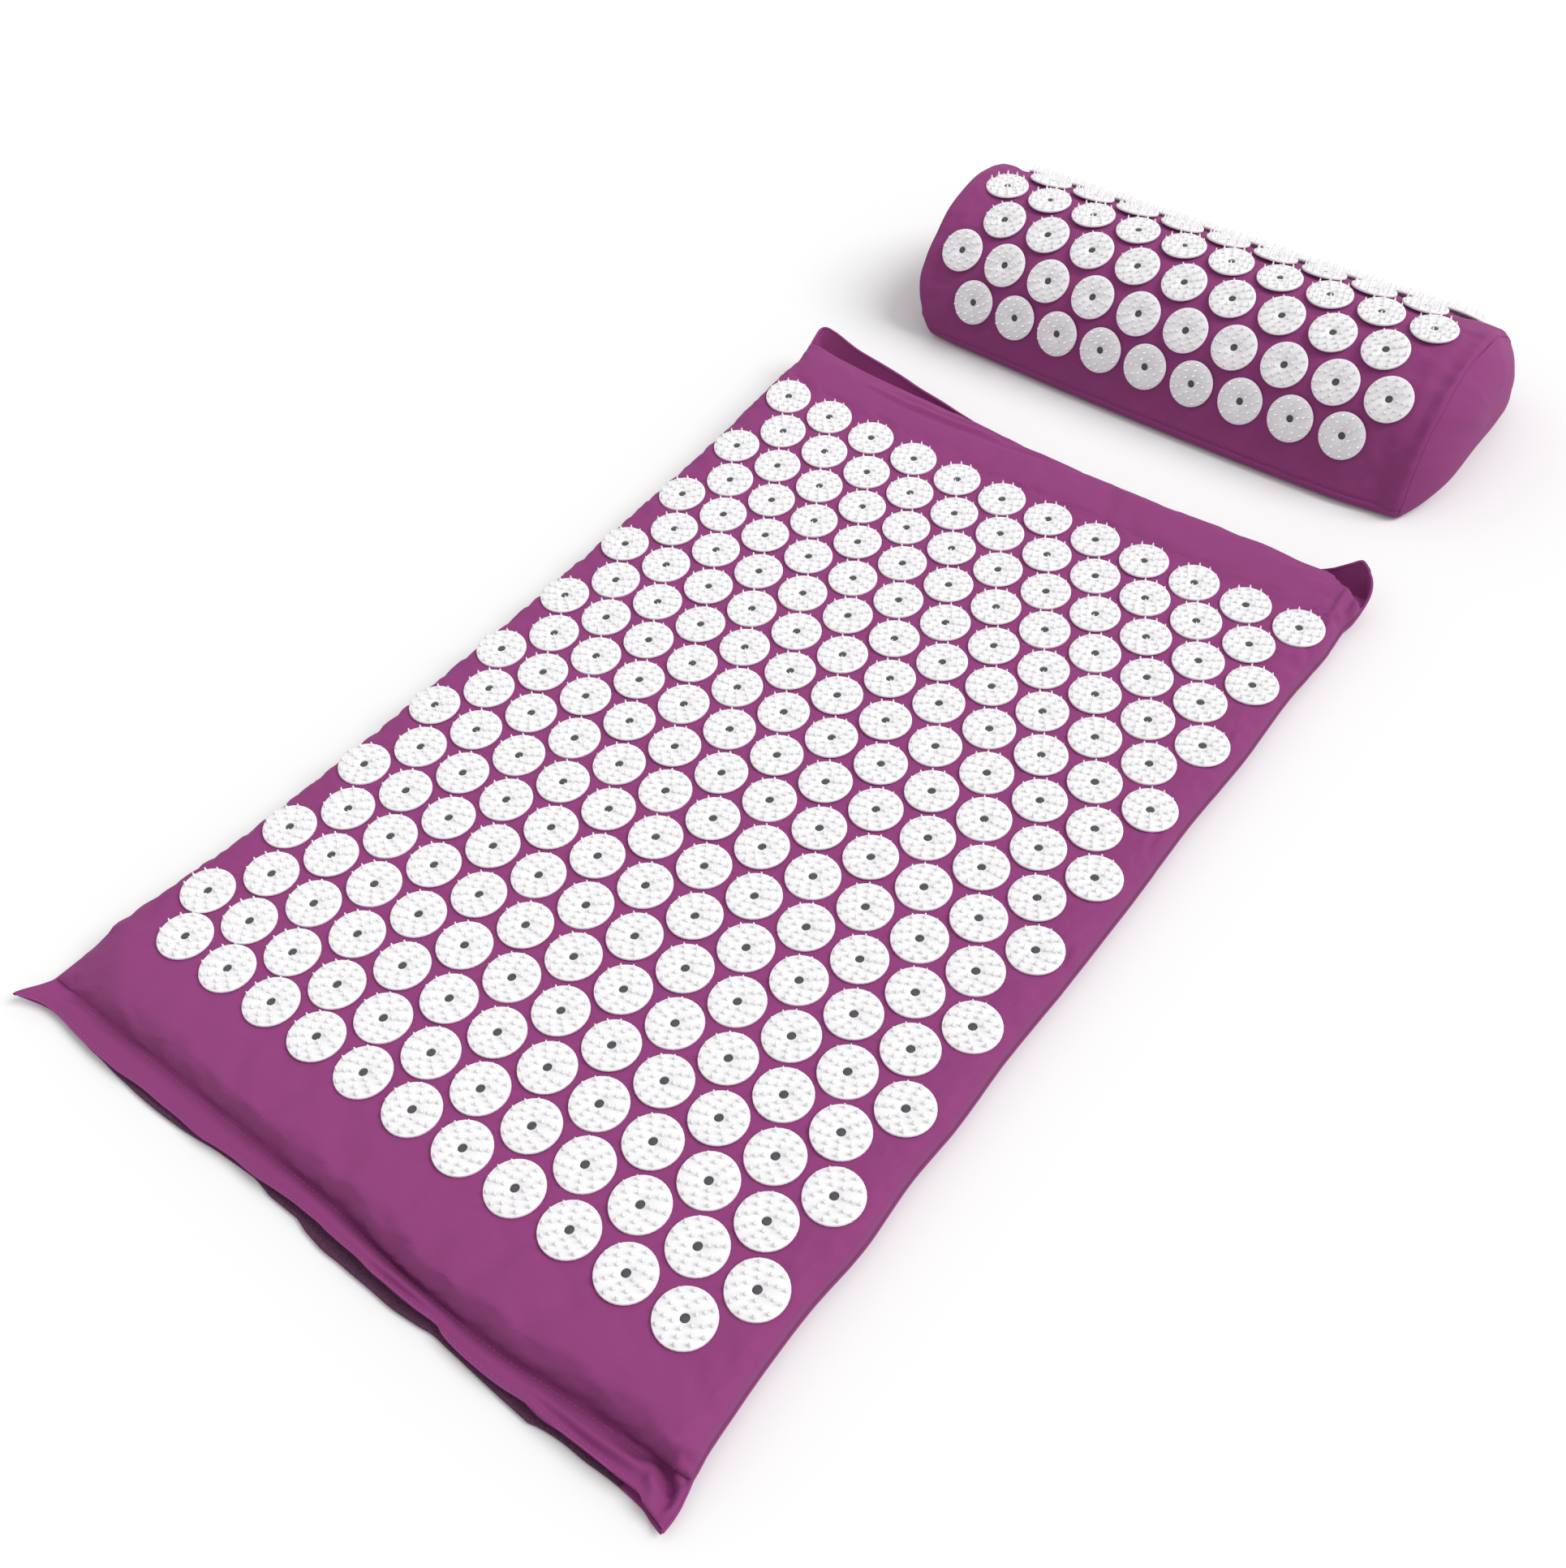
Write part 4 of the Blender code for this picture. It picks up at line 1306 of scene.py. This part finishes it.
def disc_shape(sizes):
    """One spiked disc, lying on Z = 0 with its spikes up."""
    outer = sizes.diameter / 2
    inner = sizes.hole / 2
    edge = sizes.edge
    top = sizes.plate
    profile = [(inner, 0.0), (outer - edge * 0.5, 0.0), (outer, edge * 0.6)]
    for angle in (0, math.pi / 4, math.pi / 2):
        profile.append((outer - edge + edge * math.cos(angle), top - edge + edge * math.sin(angle)))
    profile += [(inner + edge * 0.8, top), (inner, top - edge * 0.6)]
    builder = bmesh.new()
    rings = [level_ring(builder, Vector((0, 0, z)), radius, PLATE_SIDES) for radius, z in profile]
    bridge_rings(builder, rings, closed=True)
    for count, ring_radius in SPIKE_RINGS:
        for i in range(count):
            angle = 2 * math.pi * (i + 0.5 * (count % 2)) / count
            foot = Vector((ring_radius * math.cos(angle), ring_radius * math.sin(angle), top))
            add_spike(builder, foot, sizes)
    bmesh.ops.recalc_face_normals(builder, faces=builder.faces)
    return taken_shape(builder)


def add_spike(builder, foot, sizes):
    """One blunt spike with a slightly hollow flank, sunk a little into its plate."""
    rings = []
    for height, share in SPIKE_PROFILE:
        radius = sizes.spike_tip + (sizes.spike_base - sizes.spike_tip) * share
        centre = foot + Vector((0, 0, height * sizes.spike_height))
        rings.append(level_ring(builder, centre, radius, SPIKE_SIDES))
    bridge_rings(builder, rings)
    cap_rings(builder, rings)


def pin_shape(sizes):
    """The pin that shows in a disc's hole. Its near black colour is partly painted shade of the hole."""
    radius = sizes.hole / 2 * PIN_FIT
    builder = bmesh.new()
    rings = [level_ring(builder, Vector((0, 0, z)), radius * share, PIN_SIDES) for share, z in PIN_PROFILE]
    bridge_rings(builder, rings)
    cap_rings(builder, rings)
    return taken_shape(builder)


def joined_mesh(name, shape, placements):
    """One mesh with a copy of the shape at each placement."""
    points, faces = shape
    all_points = []
    all_faces = []
    for placement in placements:
        start = len(all_points) * len(points)
        turned = points @ np.array(placement.to_3x3()).T + np.array(placement.translation)
        all_points.append(turned)
        all_faces += [[start + i for i in face] for face in faces]
    mesh = bpy.data.meshes.new(name)
    mesh.from_pydata(np.concatenate(all_points).tolist(), [], all_faces)
    mesh.shade_smooth()
    mesh.set_sharp_from_angle(angle=SHARP_ANGLE)
    return mesh


def lie_on_cloth(place, facing, lean):
    """Where a disc lies: turned at random about its own axis, and leaning a little."""
    spin = Matrix.Rotation(random_places.uniform(0, 2 * math.pi), 4, "Z")
    tilt_x = Matrix.Rotation(random_places.uniform(-lean, lean), 4, "X")
    tilt_y = Matrix.Rotation(random_places.uniform(-lean, lean), 4, "Y")
    turn = Vector((0, 0, 1)).rotation_difference(facing).to_matrix().to_4x4()
    return Matrix.Translation(place) @ turn @ tilt_x @ tilt_y @ spin


def fasten_discs(body, rows, digits):
    """A piece for each row of discs, given as places and facings, and one for all their pins."""
    sizes = bpy.context.scene.disc_sizes
    looks = finishes()
    disc = disc_shape(sizes)
    pins = []
    for row, discs in enumerate(rows):
        placements = [lie_on_cloth(place, facing, sizes.lean) for place, facing in discs]
        pins += placements
        number = f"{row + 1:0{digits}d}"
        mesh = joined_mesh(f"{body}_spiked_discs_{number}", disc, placements)
        piece = add_piece(mesh, body, looks["white plastic"])
        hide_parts(f"{body}_disc_row_{number}")
    add_piece(joined_mesh(f"{body}_disc_pins", pin_shape(sizes), pins), body, looks["grey pin"])


class ACUPRESSURE_OT_mat_discs(bpy.types.Operator):
    """Fasten the mat's 230 spiked discs, a piece for each row, with their pins"""
    bl_idname = "acupressure.mat_discs"
    bl_label = "Mat discs"

    def execute(self, context):
        rows = [[lifted_place(place) for place in places] for places in mat_disc_places()]
        fasten_discs("mat", rows, 2)
        return {"FINISHED"}


# Pillow

# Points round a section, and sections and rings along the pillow
PILLOW_AROUND = 88
PILLOW_ALONG = 130
PILLOW_CORNER_POINTS = 8
PILLOW_BASE_POINTS = 36
PILLOW_CAP_RINGS = 22
PILLOW_EDGE_RINGS = 7
# The innermost ring of an end panel, as a share of its outline
PILLOW_CAP_HOLE = 0.012
# How far each end panel domes out
PILLOW_BULGES = {-1: 0.008, 1: 0.0165}
# How far the wrap runs past its solid, the radius of its rounded edge, and how far that turns
PILLOW_ENDS = {-1: (0.0039, 0.003, math.radians(66)), 1: (0.0, 0.006, math.radians(53))}
# Where each row of discs runs off an even row: right end up the wrap, left end to the right
PILLOW_ROW_RISE = (0.0032, 0.0029, 0.0022, 0.0017, 0.0, 0.0, 0.0)
PILLOW_ROW_SHIFT = (0.0044, 0.0, 0.0, 0.0, 0.0, 0.0, 0.0)
# How far round from its top the wrap stays round, before its foot runs straight
PILLOW_ROW_ARC = math.radians(63.6)
# The left end: how far its foot leans in, up to which height, and how far its top swells
LEFT_LEAN = 0.0165
LEAN_HEIGHT = 0.040
LEFT_SWELL = 0.0025
# Half thickness of the end seams, and how far the foam stays inside the cover
PILLOW_SEAM_RADIUS = 0.0004
PILLOW_FOAM_INSET = 0.0022
pillow_mid_x = (WRAP_LOW.x + WRAP_HIGH.x) / 2
pillow_half = (WRAP_HIGH.x - WRAP_LOW.x) / 2

# How much of the wrap's foot runs straight on to the floor, by share from the middle to an end
foot_flare = smooth_curve((
    (-1.0, 0.15), (-0.85, 0.35), (-0.65, 0.55), (-0.35, 0.85), (0.0, 1.05), (0.45, 1.15),
    (0.75, 1.05), (0.9, 0.75), (1.0, 0.45)))

# How far the wrap sinks in front of the right end's seam, by distance from the seam
seam_hollow = smooth_curve((
    (0.0, 0.0), (0.0022, 0.0002), (0.0080, 0.0020), (0.0140, 0.0006), (0.0200, 0.0)))


def pillow_outline(inset):
    """Half-round section with rounded lower corners: the wrap's part and the base's part."""
    radius = pillow_radius - inset
    corner = PILLOW_CORNER - inset
    base_z = CLOTH_FLOOR + inset
    corner_z = base_z + corner
    corner_y = math.sqrt((radius - corner) ** 2 - corner_z ** 2)
    seam_angle = math.atan2(corner_z, corner_y)
    angles = np.linspace(seam_angle, math.pi - seam_angle, PILLOW_AROUND)
    over = np.stack([-radius * np.cos(angles), radius * np.sin(angles)], axis=-1)
    turn = np.linspace(seam_angle, -math.pi / 2, PILLOW_CORNER_POINTS)
    back = np.stack([corner_y + corner * np.cos(turn), corner_z + corner * np.sin(turn)], axis=-1)
    flat_y = np.linspace(corner_y, -corner_y, PILLOW_BASE_POINTS)[1:-1]
    flat = np.stack([flat_y, np.full(len(flat_y), base_z)], axis=-1)
    front = back[::-1] * np.array((-1, 1))
    return over, np.concatenate([back, flat, front])


def pillow_ring(section, station):
    """A section at a station: its place from the middle, and how far it is drawn in there."""
    place, drawn = station
    share = place / pillow_half
    scale = 1 - drawn / pillow_radius
    y = section[:, 0] * scale
    z = CLOTH_FLOOR + (section[:, 1] - CLOTH_FLOOR) * scale

    # The foot of the front runs on straight from the lowest discs
    turn = math.pi / 2 - PILLOW_ROW_ARC
    start_y = -pillow_radius * math.cos(turn)
    start_z = pillow_radius * math.sin(turn)
    straight = start_y - (start_z - z) * math.tan(turn)
    round_y = -np.sqrt(np.clip(pillow_radius ** 2 - z ** 2, 0, None))
    front = np.clip(-y / pillow_radius, 0, 1) ** 2
    y = y + foot_flare(share) * np.where(z < start_z, straight - round_y, 0) * front

    # Towards the right end the front sinks, more widely at its foot, and rises again to the seam
    width = 1 + ease((0.050 - z) / 0.030)
    sink = seam_hollow((pillow_half - place) / width) * (0.6 + 0.4 * width)
    sink = sink * ease((0.3 - y / pillow_radius) / 0.7) * ease(z / 0.012)
    y = y * (1 - sink / pillow_radius)
    z = CLOTH_FLOOR + (z - CLOTH_FLOOR) * (1 - sink / pillow_radius)

    # The left end leans in at the foot of its front, and swells a little at its top
    at_left = ease((-share - 0.80) / 0.20)
    at_front = ease((0.2 - y / pillow_radius) / 0.8)
    lean = LEFT_LEAN * np.clip(1 - z / LEAN_HEIGHT, 0, 1) ** 1.4 * at_front
    swell = LEFT_SWELL * ease((z / pillow_radius - 0.75) / 0.2) * at_left
    x = np.full(len(section), pillow_mid_x + place) + lean * at_left
    return np.stack([x, pillow_y + y, z + swell], axis=-1)


def pillow_rings(section, stations):
    return np.array([pillow_ring(section, station) for station in stations])


def pillow_stations():
    """Places along the pillow where its sections lie, with the rounded edges at its ends."""
    edges = {}
    for side, (reach, radius, turn) in PILLOW_ENDS.items():
        start = pillow_half + reach - radius * math.sin(turn)
        edges[side] = []
        for angle in np.linspace(0, turn, PILLOW_EDGE_RINGS):
            place = side * (start + radius * math.sin(angle))
            edges[side].append((place, radius * (1 - math.cos(angle))))
    places = np.linspace(edges[-1][0][0], edges[1][0][0], PILLOW_ALONG)
    return edges[-1][::-1] + [(place, 0.0) for place in places[1:-1]] + edges[1]


def pillow_disc_rows():
    """The pillow's discs, row by row, each as its place and the way it faces."""
    sizes = bpy.context.scene.disc_sizes
    top_row = (PILLOW_ROWS + 1) // 2
    seat_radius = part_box(f"pillow_disc_row_{top_row}")[0].z
    rows = []
    for row in range(PILLOW_ROWS):
        low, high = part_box(f"pillow_disc_row_{row + 1}")
        count = PILLOW_SHORT_ROW + row % 2
        first, pitch = row_layout(low, high, count)
        row_arc = pitch * math.sqrt(3) / 2
        roll = (top_row - 1 - row) * row_arc / (seat_radius + sizes.plate / 2)
        discs = []
        for i in range(count):
            turn = roll - PILLOW_ROW_RISE[row] * (i / (count - 1)) ** 4 / seat_radius
            x = first + i * pitch + PILLOW_ROW_SHIFT[row] * max(0, 1 - i / 4.5)
            facing = Vector((0, -math.sin(turn), math.cos(turn)))
            discs.append((Vector((x, pillow_y, 0)) + facing * seat_radius, facing))
        rows.append(discs)
    return rows


def pillow_open_cloth(points):
    """How clear of the pillow's discs each place is."""
    return clear_of_discs(points, [place for row in pillow_disc_rows() for place, facing in row])


def to_pillow_end(points):
    """Distance of each place to the nearer end of the pillow."""
    return pillow_half - np.abs(points[..., 0] - pillow_mid_x)


class ACUPRESSURE_OT_pillow_cover(bpy.types.Operator):
    """Sew the pillow's cover: wrap, base and two end panels, with their seams"""
    bl_idname = "acupressure.pillow_cover"
    bl_label = "Pillow cover"

    def execute(self, context):
        cotton = finishes()["purple cotton"]
        over, under = pillow_outline(0.0)
        stations = pillow_stations()
        ends = PILLOW_EDGE_RINGS + 1
        base_stations = stations[:ends] + stations[ends:-ends:2] + stations[-ends:]
        wrap = self.settled(self.soften(pillow_rings(over, stations)))
        base = pillow_rings(under, base_stations)
        self.add_panel("pillow_cotton_wrap", wrap, "pillow_wrap", cotton)
        self.add_panel("pillow_cotton_base", base, "pillow_base_panel", cotton)
        for side, end, index in ((-1, "left", 0), (1, "right", -1)):
            name = f"pillow_cap_{end}"
            outline = np.concatenate([wrap[index], base[index][1:-1]])
            self.add_panel(name, self.cap_points(outline, side), f"pillow_end_{end}", cotton, True)
            mesh = tube_mesh(f"{name}_seam", outline, PILLOW_SEAM_RADIUS, closed=True)
            seam = add_piece(mesh, "pillow", cotton)
        return {"FINISHED"}

    def soften(self, wrap):
        """Slack of the cloth between the discs, and gathers beside the end seams."""
        sizes = bpy.context.scene.cover_sizes
        slow_wave = 0.036
        quick_wave = 0.015
        gather_pitch = 0.008
        waves = noise_at(wrap, slow_wave, seed=21) + 0.4 * noise_at(wrap, quick_wave, seed=22)
        beside_seam = np.exp(-((to_pillow_end(wrap) - 0.006) / 0.007) ** 2)
        gathers = noise_at(wrap * np.array((0.3, 1, 1)), gather_pitch, seed=23)
        lift = sizes.unevenness * waves * pillow_open_cloth(wrap)
        lift = lift + sizes.pucker * 0.8 * beside_seam * gathers
        from_base = ease(wrap[..., 2] / 0.02)
        return wrap - grid_normals(wrap) * (lift * from_base)[..., None]

    def settled(self, wrap):
        """The wrap after the cloth has settled between its discs and seams."""
        held = 1 - pillow_open_cloth(wrap)
        held = np.maximum(held, 1 - ease((to_pillow_end(wrap) - 0.001) / 0.006))
        held = np.maximum(held, 1 - ease((wrap[..., 2] - 0.010) / 0.006))
        return settle_cloth(wrap, held)

    def cap_points(self, outline, side):
        """An end panel: rings from its seam to the middle of its soft dome."""
        centre = np.array((np.median(outline[:, 0]), pillow_y, 0.42 * pillow_radius))
        rings = []
        turns = np.linspace(0, math.pi / 2, PILLOW_CAP_RINGS)[:-1]
        for share in (*np.cos(turns), PILLOW_CAP_HOLE):
            ring = centre + (outline - centre) * share
            ring[:, 0] += side * PILLOW_BULGES[side] * (1 - share ** 3.5)
            rings.append(ring)
        points = np.array(rings)
        inside = 1 - ease((np.linalg.norm(points - centre, axis=-1) / pillow_radius - 0.75) / 0.25)
        points[..., 0] += 0.0007 * side * noise_at(points, 0.03, seed=31) * inside
        return points

    def add_panel(self, name, points, node, cotton, closed=False):
        """A panel of the cover that faces outward. A closed one has its innermost ring filled."""
        mesh = grid_mesh(name, points, closed)
        builder = bmesh.new()
        builder.from_mesh(mesh)
        if closed:
            builder.faces.new(list(builder.verts)[-points.shape[1]:])
        bmesh.ops.recalc_face_normals(builder, faces=builder.faces)
        middle = Vector((pillow_mid_x, pillow_y, 0.4 * pillow_radius))
        outward = sum((face.calc_center_median() - middle).dot(face.normal) for face in builder.faces)
        if outward < 0:
            bmesh.ops.reverse_faces(builder, faces=builder.faces)
        builder.to_mesh(mesh)
        builder.free()
        mesh.shade_smooth()
        panel = add_piece(mesh, "pillow", cotton)
        thicken(panel, bpy.context.scene.cover_sizes.cloth)
        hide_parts(node)


class ACUPRESSURE_OT_pillow_foam(bpy.types.Operator):
    """Shape the half-round foam inside the pillow"""
    bl_idname = "acupressure.pillow_foam"
    bl_label = "Pillow foam"

    def execute(self, context):
        over, under = pillow_outline(PILLOW_FOAM_INSET)
        ends = PILLOW_EDGE_RINGS + 1
        points = pillow_rings(np.concatenate([over, under[1:-1]]), pillow_stations()[ends:-ends:4])
        mesh = grid_mesh("pillow_foam_roll", points, closed=True)
        close_ends(mesh, points.shape[1])
        foam = add_piece(mesh, "pillow", finishes()["cushion foam"])
        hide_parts("pillow_foam_core")
        return {"FINISHED"}


class ACUPRESSURE_OT_pillow_discs(bpy.types.Operator):
    """Fasten the pillow's 66 spiked discs, a piece for each row, with their pins"""
    bl_idname = "acupressure.pillow_discs"
    bl_label = "Pillow discs"

    def execute(self, context):
        fasten_discs("pillow", pillow_disc_rows(), 1)
        return {"FINISHED"}


class ACUPRESSURE_PT_panel(bpy.types.Panel):
    """Sizes, colours and the steps that build the mat and the pillow"""
    bl_idname = "ACUPRESSURE_PT_panel"
    bl_label = "Acupressure mat"
    bl_space_type = "VIEW_3D"
    bl_region_type = "UI"
    bl_category = "Acupressure mat"

    def draw(self, context):
        for group in (context.scene.cover_sizes, context.scene.disc_sizes, context.scene.mat_colours):
            box = self.layout.box()
            for name in group.__annotations__:
                box.prop(group, name)
        for step in STEPS:
            self.layout.operator(step.bl_idname)


STEPS = (
    ACUPRESSURE_OT_stage,
    ACUPRESSURE_OT_mat_cover,
    ACUPRESSURE_OT_mat_closure,
    ACUPRESSURE_OT_mat_foam,
    ACUPRESSURE_OT_mat_discs,
    ACUPRESSURE_OT_pillow_cover,
    ACUPRESSURE_OT_pillow_foam,
    ACUPRESSURE_OT_pillow_discs,
)
SETTINGS = (("cover_sizes", CoverSizes), ("disc_sizes", DiscSizes), ("mat_colours", MatColours))


def register():
    for name, settings in SETTINGS:
        bpy.utils.register_class(settings)
        setattr(bpy.types.Scene, name, PointerProperty(type=settings))
    for step in STEPS:
        bpy.utils.register_class(step)
    bpy.utils.register_class(ACUPRESSURE_PT_panel)


def unregister():
    bpy.utils.unregister_class(ACUPRESSURE_PT_panel)
    for step in reversed(STEPS):
        bpy.utils.unregister_class(step)
    for name, settings in reversed(SETTINGS):
        delattr(bpy.types.Scene, name)
        bpy.utils.unregister_class(settings)


def main():
    register()
    bpy.ops.acupressure.stage()
    bpy.ops.acupressure.mat_cover()
    bpy.ops.acupressure.mat_closure()
    bpy.ops.acupressure.mat_foam()
    bpy.ops.acupressure.mat_discs()
    bpy.ops.acupressure.pillow_cover()
    bpy.ops.acupressure.pillow_foam()
    bpy.ops.acupressure.pillow_discs()


if __name__ == "__main__":
    main()
